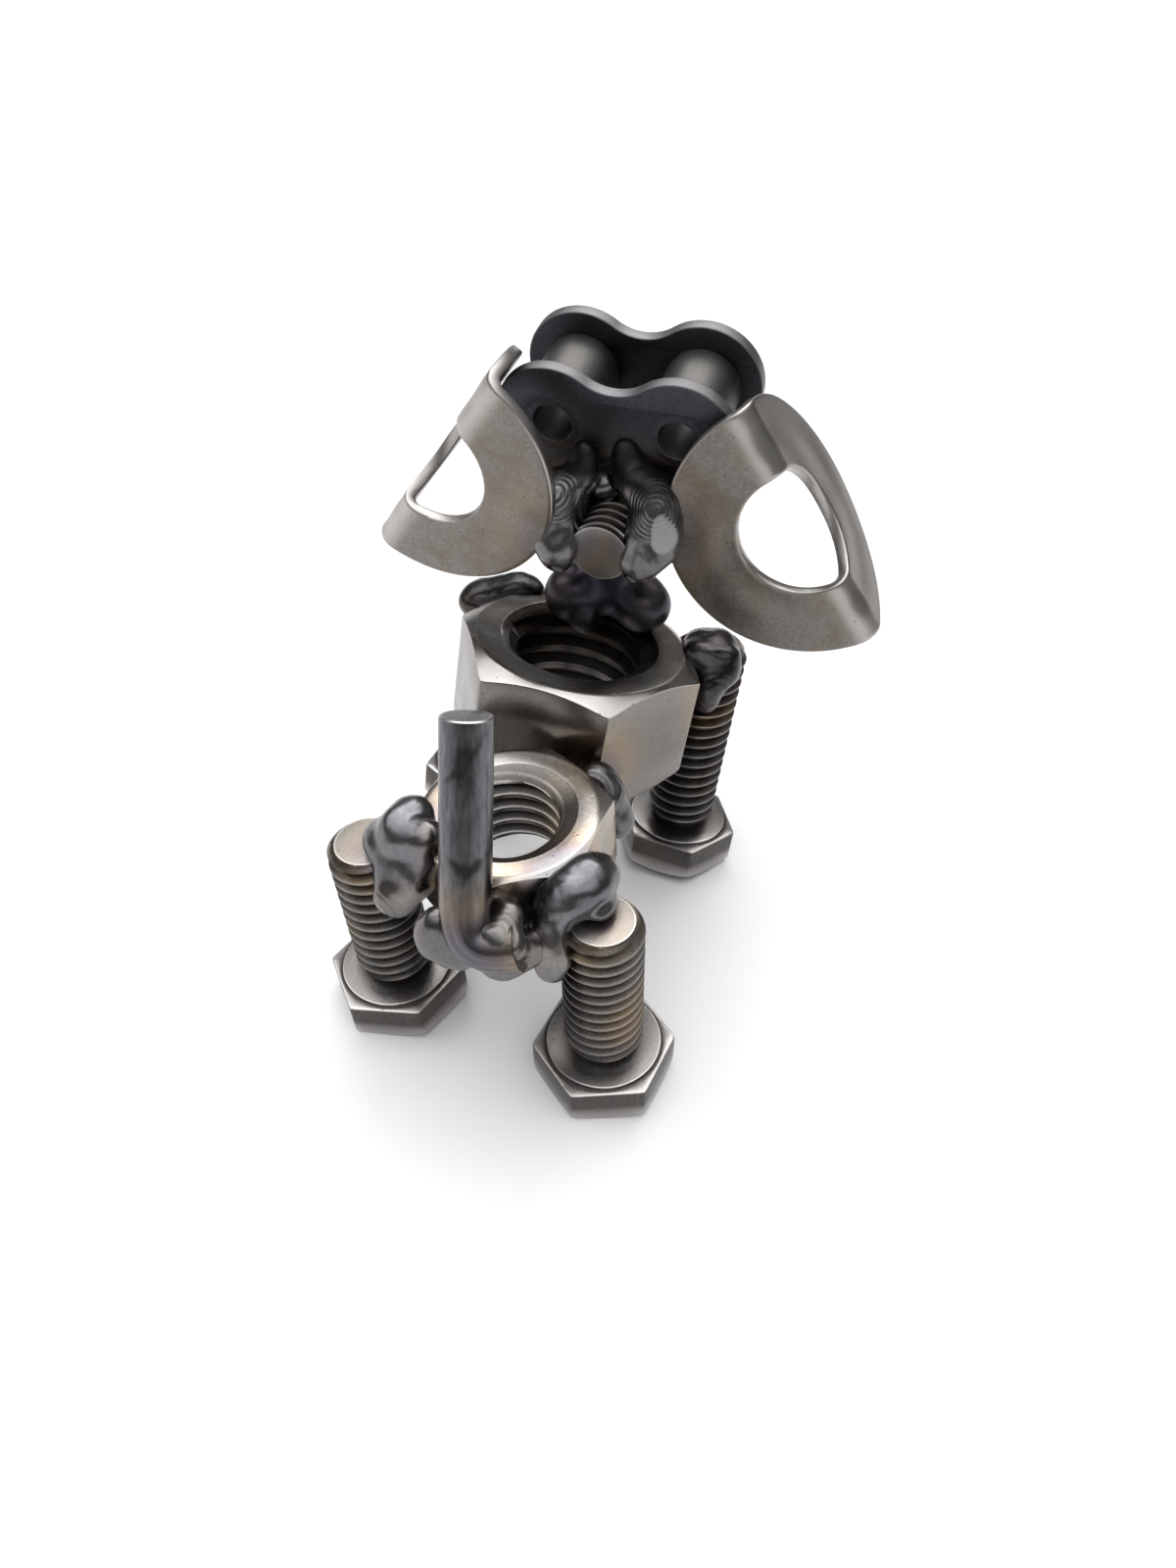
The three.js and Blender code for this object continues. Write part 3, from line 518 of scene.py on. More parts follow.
# %% Weld metals
# Frozen under clean gas: silver, with small sharp highlights on every swelling.
weld_steel = worn_steel("weld metal", "#7f7f80", "#717173", "#545458", 0.29, pits=0.1,
                        stain_share=0.5, sandy=0.06, tinted=0.5)

# Frozen with some air: the same highlights over a greyer, pitted skin.
dull_weld_steel = worn_steel("dull weld metal", "#757574", "#676766", "#54535a", 0.28, pits=0.3,
                             stain_share=0.5, tinted=0.25)

# Overheated, with a thick scale: blue black, with wide and weak highlights.
hot_weld_steel = worn_steel("blue black weld metal", "#46454e", "#403f48", "#383740", 0.38, pits=0.1,
                            stain_share=0.3, tinted=0.25)

# Smoked by the torch: nearly black, but its wet looking highlights stay sharp.
sooty_weld_steel = worn_steel("sooty weld metal", "#454342", "#3d3b3b", "#333135", 0.28, pits=0.1,
                              stain_share=0.4, tinted=0.25)

# %% [markdown]
# A screw thread is a groove that winds around a rod. The Screw modifier can make one, but
# it leaves open ends and no place for chamfers. Here each row of points climbs by one
# pitch as it goes around, so the crests follow the rows exactly and catch the light as
# thin unbroken lines, and a row that would pass an end is simply held at it. A hexagon
# with softly rounded corners comes from a high power mean of its six sides.

# %% Thread and hexagon
STATIONS = [0, 0.06, 0.125, 0.2, 0.28, 0.36, 0.4375, 0.47, 0.53, 0.5625, 0.64, 0.72, 0.8, 0.875, 0.94]
CREST_HALF, FLANK = 1 / 16, 5 / 16   # half a crest's width and a flank's width, in pitches


def hexagon(across_flats, angle, firmness=70):
    total = 0
    for side in range(6):
        total = total + np.maximum(np.cos(angle - np.pi / 6 - side * np.pi / 3), 0) ** firmness
    return across_flats / 2 * total ** (-1 / firmness)


def thread_depth(phase):
    return np.clip((np.abs(phase - 0.5) - CREST_HALF) / FLANK, 0, 1)


def thread_rows(bottom, top, pitch, angle):
    turns = int(np.ceil((top - bottom) / pitch)) + 1
    for turn in range(turns + 1):
        for phase in STATIONS:
            height = bottom + pitch * (turn + phase - 1 + angle / (2 * np.pi))
            yield np.clip(height, bottom, top), phase


print("depths over one pitch:", [round(float(thread_depth(phase)), 2) for phase in STATIONS])

# %% [markdown]
# The parts of a bolt or nut that are not thread are turned: a short table gives each
# row's radius and height, how bright it is painted there, as rubbed metal and as highlight,
# and how dark, as grime and as shade. A Bevel modifier would round the edges by itself,
# but it cannot say which edges hands have polished, nor where highlights are painted. Under
# the head, shade and grime are painted into the corner, and the rim of the washer face is
# painted bright, as wear and as a highlight.

# %% Turned faces
HEAD_FACE = 0.95            # the head's flat face, as a share of its width across flats
CHAMFER = np.tan(np.pi / 6)
# How bright the head's edges are painted: partly wear, partly a painted highlight.
EDGE_SHINE = 0.75
MIDDLE = 0.001              # mm, the radius of the ring that closes a face
CORE = 1.2                  # how much thinner than its crests a bolt's plain neck is, in pitches


def turned(profile, angle):
    rows = [ring(radius, height, angle) for radius, height, _, _ in profile]
    # The third column is how bright a row is painted, as rubbed metal and as highlight.
    rubbed_and_highlight = [np.full(len(angle), shine) for _, _, shine, _ in profile]
    # The fourth column is how dark a row is painted, as grime and as shade.
    grime_and_shade = [np.full(len(angle), grime_and_shade_share) for _, _, _, grime_and_shade_share in profile]
    return rows, rubbed_and_highlight, grime_and_shade


def head_profile(angle, hex_size, head, washer, seat, outside, neck):
    outer = hexagon(hex_size, angle)
    face = HEAD_FACE * hex_size / 2
    drop = np.maximum(outer - face, 0) * CHAMFER
    return [
        (MIDDLE, 0, 0.0, 0.0),
        (face - 0.5, 0, 0.0, 0.0),
        (face - 0.05, 0, 0.0, 0.0),
        (outer - 0.02, drop - 0.01, EDGE_SHINE, 0.0),
        (outer, drop + 0.08, EDGE_SHINE, 0.0),
        (outer, head / 2, 0.0, 0.0),
        (outer, head - 0.18, 0.0, 0.0),
        (outer - 0.05, head - 0.05, EDGE_SHINE, 0.0),
        (outer - 0.18, head, EDGE_SHINE, 0.0),
        # Painted shade with grime in the corner under the head, then a painted highlight with wear on the
        # washer face's rim.
        (washer / 2 + 0.25, head, 0.0, 0.1),
        (washer / 2, head + 0.08, 0.0, 0.6),
        (washer / 2 - 0.06, seat - 0.04, 0.9, 0.0),
        (washer / 2 - 0.2, seat, 0.25, 0.0),
        (outside / 2 + 0.5, seat, 0.15, 0.0),
        (neck / 2 + 0.25, seat + 0.12, 0.0, 0.3),
    ]


def end_profile(end, end_flat):
    # The end's edge and face are painted bright: wear and a painted highlight.
    return [
        (end_flat / 2 - 0.06, end, 0.8, 0.0),
        (end_flat / 2 - 0.2, end + 0.02, 0.3, 0.0),
        (end_flat / 4, end + 0.02, 0.2, 0.0),
        (MIDDLE, end + 0.02, 0.2, 0.0),
    ]


print("a bolt's end is turned in", len(end_profile(0, 6)), "rows")

# %% [markdown]
# A real bolt is cold headed from wire and its thread is rolled. Here it is one closed
# skin: it starts in the middle of the head's outer face, runs over the chamfer, up the
# hexagon, across the washer face and along the thread to the end. A head and a rod could
# be joined instead, but a single skin has no seam where the light would catch. The roots
# are a little uneven and the crests a little worn, as on old hardware. The roots are painted
# dark, as grime and as shade, and the crests bright, as bare metal and as a highlight.

# %% Bolt
ROOT_DEPTH = 0.6134    # depth of a coarse thread, in pitches
UNEVEN = 0.02          # mm
NECK_HEIGHT = 0.2      # mm of plain neck under the thread
# How dark the thread roots are painted, as grime and as shade.
THREAD_GRIME_AND_SHADE = 0.3


def bolt(name, where, outside, pitch, hex_size, head, washer, rise, shank, end_flat, finish, slot,
         sides=96, bare_and_highlight=0.14):
    angle = around(sides)
    seat = head + rise
    start, end = seat + NECK_HEIGHT, seat + shank
    neck = outside - CORE * pitch
    rows, rubbed_and_highlight, grime_and_shade = turned(
        head_profile(angle, hex_size, head, washer, seat, outside, neck), angle)
    for height, phase in thread_rows(start, end, pitch, angle):
        depth = thread_depth(phase)
        wave = UNEVEN * np.sin(7 * angle + 1.7 * height) * np.sin(3 * angle - 0.9 * height)
        dents = UNEVEN * np.abs(np.sin(2 * angle + height))
        radius = outside / 2 - (ROOT_DEPTH * pitch + wave) * depth - dents
        base = np.clip((height - start) / pitch, 0, 1)
        radius = neck / 2 + (radius - neck / 2) * base
        cone = end_flat / 2 + (end - height)
        radius = np.minimum(radius, cone)
        rows.append(ring(radius, height, angle))
        # Roots: painted shade with grime.
        grime_and_shade.append(np.clip(depth * 3, 0, 1) * (cone > radius + 0.02) * base * THREAD_GRIME_AND_SHADE)
        # Crests: painted highlight with bare metal.
        rubbed_and_highlight.append(np.full(sides, bare_and_highlight if depth < 0.05 else 0.0) * base)
    last_rows, last_rubbed_and_highlight, last_grime_and_shade = turned(end_profile(end, end_flat), angle)
    points, faces = skin(rows + last_rows)
    return piece(name, put(points, where), faces, finish,
                 np.concatenate(rubbed_and_highlight + last_rubbed_and_highlight), np.concatenate(grime_and_shade + last_grime_and_shade))


print("a bolt's thread is", ROOT_DEPTH, "pitches deep")

# %% [markdown]
# The four legs are 5/16 inch bolts with coarse thread, standing on their heads. The rear
# pair is shorter. One bolt could be copied four times, but each leans a little, as the
# welder left it, and so stands on one edge. That edge is worn flat to the floor.

# %% Legs
LEG = dict(outside=7.94, pitch=1.411, hex_size=12.7, head=4.6, washer=11.7, rise=0.4, end_flat=6.2)
REAR_SHANK, FRONT_SHANK = 18.6, 24.4
LEGS = [
    ("front_left_leg", FRONT_SHANK,
     place((18.091, -13.296, 0.544), (0.867, 0.483, 0.125), (-0.07, -0.131, 0.989))),
    ("front_right_leg", FRONT_SHANK,
     place((-8.335, -11.89, 0.339), (0.996, -0.076, 0.047), (-0.055, -0.1, 0.993))),
    ("rear_left_leg", REAR_SHANK,
     place((14.866, 19.271, 0.16), (0.981, 0.178, -0.07), (0.06, 0.06, 0.996))),
    ("rear_right_leg", REAR_SHANK,
     place((-8.891, 22.209, 0), (0.942, 0.331, -0.052), (0.041, 0.041, 0.998))),
]
for name, shank, where in LEGS:
    leg = bolt(name, where, shank=shank, finish=bolt_steel, slot="leg_bolts", **LEG)
    low = min(v.co.z for v in leg.data.vertices)
    for v in leg.data.vertices:
        v.co.z = max(v.co.z, 0.0)
    print(name, "lowest edge worn by", round(-low / MM, 2), "mm")

# %% [markdown]
# The nose is a 1/4 inch bolt that lies above the chest nut with its head forward. Its
# threaded end points back at the camera, dark but for its crests, which are painted bright
# as bare metal and as a highlight. It could be shaped
# by eye, but it is the same kind of bolt in another size, so the same function makes it.
# Its head, which the photograph does not show, has the size of a stock one.

# %% Nose bolt
NOSE_AT = place((0.654, -30.304, 44.833), (0.998, -0.049, -0.045), (0.045, 0.994, -0.099))
# The last number paints the crests fully bright: a painted highlight as well as bare metal.
bolt("nose_bolt", NOSE_AT, outside=6.3, pitch=1.27, hex_size=11.1, head=4.0, washer=10.2, rise=0.3,
     shank=19.05, end_flat=6.1, finish=nose_steel, slot="nose", sides=80, bare_and_highlight=1.0)

# %% [markdown]
# A nut could be cut from a hexagonal bar with a boolean, but that leaves ragged edges
# where the thread runs out. Here it is a closed ring of rows: across its top face, over
# the chamfer that cuts the hexagon's corners to arcs, down the flats, under, and back up
# through the screw thread. Its countersunk mouths are plain cones that the thread runs
# out into. The thread's roots and the mouths are painted dark, as grime and as the shade
# inside the bore, and its crests are not.

# %% Nut
MOUTH_EDGE = 0.12   # mm by which the edge of a mouth is broken
# How dark the countersunk mouths are painted, as grime and as shade.
MOUTH_GRIME_AND_SHADE = 0.3
CREST_EDGES = (0.125, 0.875)   # stations at the edges of a nut's crest
AT_END = 1e-6       # mm from an end of the thread where a row joins the mouth


def nut_profile(angle, hex_size, half, ring_size, mouth):
    outer = hexagon(hex_size, angle, 90)
    drop = np.maximum(outer - ring_size / 2, 0) * CHAMFER
    # The mouth and ring edges are painted bright: rubbed metal and painted highlight.
    top = [
        (mouth / 2, half - MOUTH_EDGE, 0.3, 0.0),
        (mouth / 2 + 0.12, half - 0.02, 0.6, 0.0),
        (mouth / 2 + 0.35, half, 0.1, 0.0),
        (ring_size / 2 - 0.35, half, 0.15, 0.0),
        (ring_size / 2 - 0.1, half - 0.03, 0.5, 0.0),
        (ring_size / 2 + 0.12, half - 0.12, 0.3, 0.0),
        (np.maximum(outer - 0.06, ring_size / 2 + 0.13), half - drop, 0.5, 0.0),
        (outer, half - drop - 0.14, 0.1, 0.0),
        (outer, half * 0.3, 0.0, 0.0),
    ]
    return top + [(radius, -height, shine, grime_and_shade_share) for radius, height, shine, grime_and_shade_share in reversed(top)]


def nut(name, where, finish, hex_size, height, ring_size, mouth, bore, major, pitch, grime_and_shade_share, sides=132):
    angle = around(sides)
    half = height / 2
    rows, rubbed_and_highlight, grime_and_shade = turned(nut_profile(angle, hex_size, half, ring_size, mouth), angle)
    sink = (mouth - bore) / 2 * CHAMFER + MOUTH_EDGE
    start, end = -half + MOUTH_EDGE, half - MOUTH_EDGE
    for level, phase in thread_rows(start, end, pitch, angle):
        radius = bore / 2 + (major - bore) / 2 * (1 - thread_depth(phase))
        near = np.minimum(level - start, end - level)
        inside = np.clip(near / sink, 0, 1)
        radius = np.maximum(radius, bore / 2 + (1 - inside) * (mouth - bore) / 2)
        rows.append(ring(np.where(near < AT_END, mouth / 2, radius), level, angle))
        crest = phase in CREST_EDGES
        # Painted shade with grime fills the bore but for the crests' edges, which get a faint painted
        # highlight.
        grime_and_shade.append((0.0 if crest else grime_and_shade_share) * inside + MOUTH_GRIME_AND_SHADE * (1 - inside))
        rubbed_and_highlight.append(np.full(sides, 0.1 if crest else 0.0))
    points, faces = skin(rows, closed=True)
    return piece(name, put(points, where), faces, finish,
                 np.concatenate(rubbed_and_highlight), np.concatenate(grime_and_shade))


CHEST_AT = place((4.029, -6.813, 24.646), (0.996, -0.03, 0.082), (-0.085, -0.129, 0.988))
RUMP_AT = place((2.963, 15.776, 22.7), (0.895, 0.435, -0.093), (0.072, 0.066, 0.995))
# The last number sets how dark each bore is painted, as grime and as shade.
nut("chest_nut", CHEST_AT, chest_steel, hex_size=23.81, height=13.9, ring_size=22.8, mouth=16.9,
    bore=13.5, major=15.88, pitch=2.309, grime_and_shade_share=0.45)
nut("rump_nut", RUMP_AT, rump_steel, hex_size=17.5, height=9.5, ring_size=16.9, mouth=12.9,
    bore=9.3, major=11.11, pitch=1.814, grime_and_shade_share=0.75)

# %% [markdown]
# The tail is a short rod of drawn steel, bent at its lower end into a hook that the weld
# swallows. A curve with a round bevel would give its shape, but its drawing lines and
# its soot have to know where on the rod they are. So its path is laid out first: a
# straight piece, a soft bend, and a short hook.

# %% Tail path
TAIL_RADIUS, TAIL_BEND = 2.35, 3.4
TAIL_TOP = np.array((5.356, 20.496, 41.587))
TAIL_KNEE = np.array((3.001, 29.188, 21.956))
TAIL_TIP = np.array((-1.892, 28.253, 23.57))
up = (TAIL_TOP - TAIL_KNEE) / np.linalg.norm(TAIL_TOP - TAIL_KNEE)
out = (TAIL_TIP - TAIL_KNEE) / np.linalg.norm(TAIL_TIP - TAIL_KNEE)
trim = TAIL_BEND / np.tan(np.arccos(np.dot(up, out)) / 2)
bend_from, bend_to = TAIL_KNEE + up * trim, TAIL_KNEE + out * trim
straight = [TAIL_TOP + (bend_from - TAIL_TOP) * t for t in np.linspace(0, 1, 110, endpoint=False)]
bend = [bend_from * (1 - t) ** 2 + 2 * TAIL_KNEE * t * (1 - t) + bend_to * t * t
        for t in np.linspace(0, 1, 14)]
hook = [bend_to + (TAIL_TIP - bend_to) * t for t in np.linspace(0.2, 1, 6)]
tail_path = straight + bend + hook
print("the tail is", round(float(np.linalg.norm(TAIL_TOP - TAIL_KNEE)), 1), "mm tall before its bend")

# %% [markdown]
# The rod's skin is a ring at each point of the path, square to it, and its sawn end has
# a small edge painted bright, as worn metal and as a highlight. The grain goes around the
# rod and slowly along it, so the noise in
# the steel is stretched into drawing lines. The welder's smoke left two soft patches of
# soot; they could be painted, but two distances and a little noise give their edges.

# %% Tail rod
GRAIN_ALONG = 1.5   # how far the grain runs over the whole rod, in radii, which stretches it
# The sawn edge is painted bright: wear and a painted highlight.
SAWN_EDGE, SAWN_SHINE = 0.12, 0.6   # mm by which the sawn edge is broken, and how bright it is
SOOT_MOST = 0.75
SOOT_HIGH, SOOT_LOW = (4.5, 23.5, 39.3), (3.2, 27.9, 30.3)   # middles of the two patches


def swept(path, radius, sides=64):
    path = np.asarray(path)
    ahead = np.gradient(path, axis=0)
    ahead /= np.linalg.norm(ahead, axis=1)[:, None]
    angle = around(sides)
    across = np.cross(ahead[0], (0, 0, 1.0))
    rows = []
    for point, along in zip(path, ahead):
        across = across - along * np.dot(across, along)
        across /= np.linalg.norm(across)
        other = np.cross(along, across)
        rows.append(point + radius * (np.outer(np.cos(angle), across) + np.outer(np.sin(angle), other)))
    return rows


def capped(rows, lift):
    first, last = np.mean(rows[0], 0), np.mean(rows[-1], 0)
    top_cap = [first + (rows[0] - first) * share for share in (0.01, 0.8, 0.93)]
    end_cap = [last + (rows[-1] - last) * share for share in (0.9, 0.5, 0.01)]
    return top_cap + [rows[0] - lift] + rows[1:] + end_cap


def sooted(points):
    upper, lower = points - SOOT_HIGH, points - SOOT_LOW
    above = np.maximum(np.abs(upper[:, 0] + 0.25 * upper[:, 2]) / 0.85, np.abs(upper[:, 2]) / 1.7)
    width = (np.abs(lower[:, 0]) + 0.8 * (1.2 - lower[:, 2])) / 1.7
    below = np.maximum(width, np.abs(lower[:, 2]) / 1.2)
    smear = np.array([noise.noise(Vector(p / 0.8)) for p in points])
    return np.clip((1.2 - np.minimum(above, below) + 0.35 * smear) / 0.5, 0, 1) * SOOT_MOST


rows = capped(swept(tail_path, TAIL_RADIUS), up * SAWN_EDGE)
points, faces = skin(rows)
sides = len(rows[0])
rubbed_and_highlight = np.zeros((len(rows), sides))
rubbed_and_highlight[2:4] = SAWN_SHINE
turn = np.tile(around(sides), len(rows))
run = np.repeat(np.linspace(0, 1, len(rows)), sides)
grain = np.stack([np.cos(turn), np.sin(turn), run * GRAIN_ALONG], 1) * TAIL_RADIUS
piece("tail_rod", points, faces, rod_steel, rubbed_and_highlight.ravel(), sooted(points), grain=grain)

# %% [markdown]
# The head is one inner link of roller chain, with two plates stamped to a waisted shape.
# The plate's outline is four arcs, a round lobe around each hole and a hollow on each
# side between them. It could be a skin of rows like the bolts, but a flat curve with two
# holes is simpler: Blender fills it, thickens it and rounds its stamped edge at once.

# %% Chain plates
LINK_AT = place((1.696, -17.009, 54.508), (0.998, -0.049, -0.031), (-0.041, -0.974, 0.225))
LINK_PITCH, LOBE, WAIST, PLATE, BETWEEN = 12.7, 12.0, 7.96, 1.4, 8.3
BUSHING, BUSHING_HOLE, ROLLER = 5.6, 4.1, 7.92
STAMPED_EDGE = 0.16
PRESSED_IN = 0.12   # how far the plate's holes reach into the bushings, so no gap shows
NEAR_HOLE = 3.2     # mm from a hole's middle within which an edge is the hole's own
# The plates' outer rim, away from the holes, is painted bright as a highlight.
PLATE_SHINE = 0.2


def plate_outline():
    lobe, waist, reach = LOBE / 2, WAIST / 2, LINK_PITCH / 2
    hollow = (reach ** 2 + waist ** 2 - lobe ** 2) / (2 * (lobe - waist))
    centre = waist + hollow
    slope = np.arctan2(centre, reach)
    arcs = [
        (reach, 0, lobe, slope - np.pi, np.pi - slope, 48),
        (0, centre, hollow, -slope, slope - np.pi, 20),
        (-reach, 0, lobe, slope, 2 * np.pi - slope, 48),
        (0, -centre, hollow, np.pi - slope, slope, 20),
    ]
    outline = []
    for x, y, radius, first, last, count in arcs:
        angle = np.linspace(first, last, count, endpoint=False)
        outline.append(np.stack([x + radius * np.cos(angle), y + radius * np.sin(angle)], 1))
    return np.vstack(outline)


def taken(holder):
    bpy.context.view_layer.update()
    mesh = bpy.data.meshes.new_from_object(holder.evaluated_get(bpy.context.evaluated_depsgraph_get()))
    bpy.data.objects.remove(holder)
    return mesh


def flat_curve(name, loops, thickness, rounding):
    curve = bpy.data.curves.new(name, "CURVE")
    curve.dimensions = "2D"
    curve.fill_mode = "BOTH"
    curve.extrude = thickness / 2 - rounding
    curve.bevel_depth = rounding
    curve.bevel_resolution = 2
    curve.offset = -rounding
    for loop in loops:
        spline = curve.splines.new("POLY")
        spline.points.add(len(loop) - 1)
        corners = np.column_stack([loop, np.zeros(len(loop)), np.ones(len(loop))])
        spline.points.foreach_set("co", corners.ravel())
        spline.use_cyclic_u = True
    mesh = taken(shown(name, curve))
    return np.array([v.co for v in mesh.vertices]), [list(p.vertices) for p in mesh.polygons]


hole_radius = BUSHING / 2 - PRESSED_IN
angle = -around(48)
holes = [np.stack([s * LINK_PITCH / 2 + hole_radius * np.cos(angle), hole_radius * np.sin(angle)], 1)
         for s in (-1, 1)]
for name, side in (("rear_link_plate", -1), ("front_link_plate", 1)):
    points, faces = flat_curve(name, [plate_outline(), *holes], PLATE, STAMPED_EDGE)
    from_hole = np.min([np.hypot(points[:, 0] - s * LINK_PITCH / 2, points[:, 1]) for s in (-1, 1)], axis=0)
    on_rim = (np.abs(points[:, 2]) < PLATE / 2 - 0.02) & (from_hole > NEAR_HOLE)
    points = points + [0, 0, side * (BETWEEN + PLATE) / 2]
    piece(name, put(points, LINK_AT), faces, chain_steel, on_rim * PLATE_SHINE, 0.0)

# %% [markdown]
# Two bushings are pressed through the plates, and a roller sits on each with a little
# play. Both are tubes with broken edges. A cylinder with a Solidify modifier would do,
# but the same turned tables serve here too, and paint the faces that rub on the plates
# bright, as wear and as a highlight.

# %% Bushings and rollers
ROLLER_PLAY = 0.4


def sleeve(name, across, outside, hole, length, finish, bare_and_highlight, inside, soft):
    angle = around(56)
    half = length / 2
    rows, rubbed_and_highlight, _ = turned([
        (outside / 2, -half + soft, 0.1, 0.0),
        (outside / 2, half - soft, 0.1, 0.0),
        (outside / 2 - soft, half, bare_and_highlight, 0.0),
        (hole / 2 + soft, half, bare_and_highlight, 0.0),
        (hole / 2, half - soft, inside, 0.0),
        (hole / 2, -half + soft, inside, 0.0),
        (hole / 2 + soft, -half, bare_and_highlight, 0.0),
        (outside / 2 - soft, -half, bare_and_highlight, 0.0),
    ], angle)
    points, faces = skin(rows, closed=True)
    points = points + [across, 0, 0]
    piece(name, put(points, LINK_AT), faces, finish, np.concatenate(rubbed_and_highlight), 0.0)


for name, across in (("right", -LINK_PITCH / 2), ("left", LINK_PITCH / 2)):
    sleeve(f"{name}_bushing", across, BUSHING, BUSHING_HOLE, BETWEEN + 2 * PLATE, chain_steel,
           bare_and_highlight=0.0, inside=0.2, soft=0.04)
    sleeve(f"{name}_roller", across, ROLLER, BUSHING + ROLLER_PLAY, BETWEEN - ROLLER_PLAY, roller_steel,
           bare_and_highlight=0.3, inside=0.0, soft=0.16)

# %% [markdown]
# The ears are plain washers folded square near the middle. The Simple Deform modifier
# bends a shape too, but it cannot keep both halves flat. So a ring with rounded edges is
# made first, and one mapping folds it: a point before the fold stays, a point in the
# fold follows an arc, and the rest stands up at a right angle. The fold and both rims
# are painted bright, as rubbed metal and as highlights, and the faces are slightly dented.

# %% Ears
EAR, EAR_HOLE, EAR_THICK, FOLD = 27.0, 12.5, 1.2, 1.5
EAR_SIDES, EAR_RINGS = 288, 26
EAR_EDGE, DENT = 0.22, 0.05
# How bright the rims and the fold are painted: wear and painted highlight.
RIM_SHINE, FOLD_SHINE = 0.45, 0.55
FOLD_WIDTH = 1.1    # mm to each side of the fold that is painted bright, as rubbed metal and as highlight


def folded(points, fold_at):
    arc = FOLD * np.pi / 2
    run = points[:, 0] - (fold_at - arc / 2)
    angle = np.clip(run / FOLD, 0, np.pi / 2)
    rest = np.maximum(run - arc, 0)
    off = points[:, 2]
    x = np.where(run <= 0, points[:, 0], fold_at - arc / 2 + (FOLD - off) * np.sin(angle))
    z = np.where(run <= 0, off, FOLD - (FOLD - off) * np.cos(angle) + rest)
    return np.stack([x, points[:, 1], z], 1)


def washer_outline(half, low, high):
    radii = np.linspace(low + EAR_EDGE, high - EAR_EDGE, EAR_RINGS)
    outer_rim = [(high - 0.06, half - 0.06), (high, half - EAR_EDGE),
                 (high, EAR_EDGE - half), (high - 0.06, 0.06 - half)]
    inner_rim = [(low + 0.06, 0.06 - half), (low, EAR_EDGE - half),
                 (low, half - EAR_EDGE), (low + 0.06, half - 0.06)]
    return [(r, half) for r in radii] + outer_rim + [(r, -half) for r in radii[::-1]] + inner_rim


def ear(name, where, fold_at, seed):
    angle = around(EAR_SIDES)
    low, high = EAR_HOLE / 2, EAR / 2
    rows, rubbed_and_highlight = [], []
    for radius, off in washer_outline(EAR_THICK / 2, low, high):
        dent = DENT * np.sin(3 * angle + seed + radius) * np.sin(2 * angle - 0.4 * radius)
        rows.append(ring(radius, off + dent, angle))
        rim = radius > high - 0.15 or radius < low + 0.15
        rubbed_and_highlight.append(np.full(EAR_SIDES, RIM_SHINE if rim else 0.0))
    points, faces = skin(rows, closed=True)
    near_fold = np.exp(-((points[:, 0] - fold_at - 0.2) / FOLD_WIDTH) ** 2) * FOLD_SHINE
    piece(name, put(folded(points, fold_at), where), faces, washer_steel,
          np.maximum(np.concatenate(rubbed_and_highlight), near_fold), 0.0, sharp=50)


ear("left_ear", place((18.974, -7.12, 49.501), (0.111, 0.974, -0.199), (-0.818, -0.024, -0.574)),
    fold_at=0.5, seed=0.4)
ear("right_ear", place((-18.543, -9.102, 47.722), (-0.008, 0.999, -0.049), (0.802, -0.023, -0.597)),
    fold_at=-0.65, seed=2.1)

# %% [markdown]
# Weld metal was liquid: it pulls into smooth swollen drops that run into each other. It
# could be sculpted by hand, but metaballs run together in the same way, so each bead
# starts as a few drops laid out by numbers. Their mesh is coarse where they meet, so a
# fine voxel remesh gives an even skin and a little smoothing stands for the pull of the
# liquid. A drop with this surface level and stiffness keeps the half widths it is given.

# %% Molten drops
SURFACE, STIFFNESS = 0.6, 2.2
REACH = 1 / np.sqrt(1 - (SURFACE / STIFFNESS) ** (1 / 3))
DROP_GRID = 0.3
SMOOTHINGS = 6


def run_together(drops, voxel):
    pool = bpy.data.metaballs.new("pool")
    pool.resolution = DROP_GRID
    pool.threshold = SURFACE
    for centre, radii in drops:
        drop = pool.elements.new(type="ELLIPSOID")
        drop.co = centre
        drop.radius = REACH
        drop.stiffness = STIFFNESS
        drop.size_x, drop.size_y, drop.size_z = radii
    holder = shown("skin", taken(shown("pool", pool)))
    remesh = holder.modifiers.new("even", "REMESH")
    remesh.mode = "VOXEL"
    remesh.voxel_size = voxel
    smooth = holder.modifiers.new("tension", "SMOOTH")
    smooth.iterations = SMOOTHINGS
    mesh = taken(holder)
    points = np.array([v.co for v in mesh.vertices])
    normals = np.array([v.normal for v in mesh.vertices])
    return points, normals, [list(p.vertices) for p in mesh.polygons]


print("a drop reaches", round(float(REACH), 3), "times its half width before it fades out")

# %% [markdown]
# A bead freezes in fine crescents as the torch moves on, and slag stays dark in them. A
# displacement texture would put them everywhere, but a real bead has them only where it
# froze last, so each set of ripples has its own middle, spacing, depth and reach, and is
# pushed along the skin's normals. Low lumps keep the rest from looking cast. Where a
# bead was touched with a grinder it has a flat, slightly brighter facet, and the tops of
# the ear beads are black with soot from the joint above them.

# %% One weld bead
LUMP_MM = 2.6          # how wide the low lumps are
SLAG = 0.6
FACET_SHINE, FACET_CUT = 0.2, 0.9


def rippled(points, middle, spacing, depth, reach):
    apart = np.linalg.norm(points - middle, axis=1)
    calm = np.clip(apart / 0.9 - 0.6, 0, 1)
    fade = np.clip(1 - apart / reach, 0, 1) ** 0.6 * calm
    wave = np.sin(apart * 2 * np.pi / spacing)
    return depth * wave * fade, np.clip(-wave, 0, 1) ** 2 * fade * SLAG


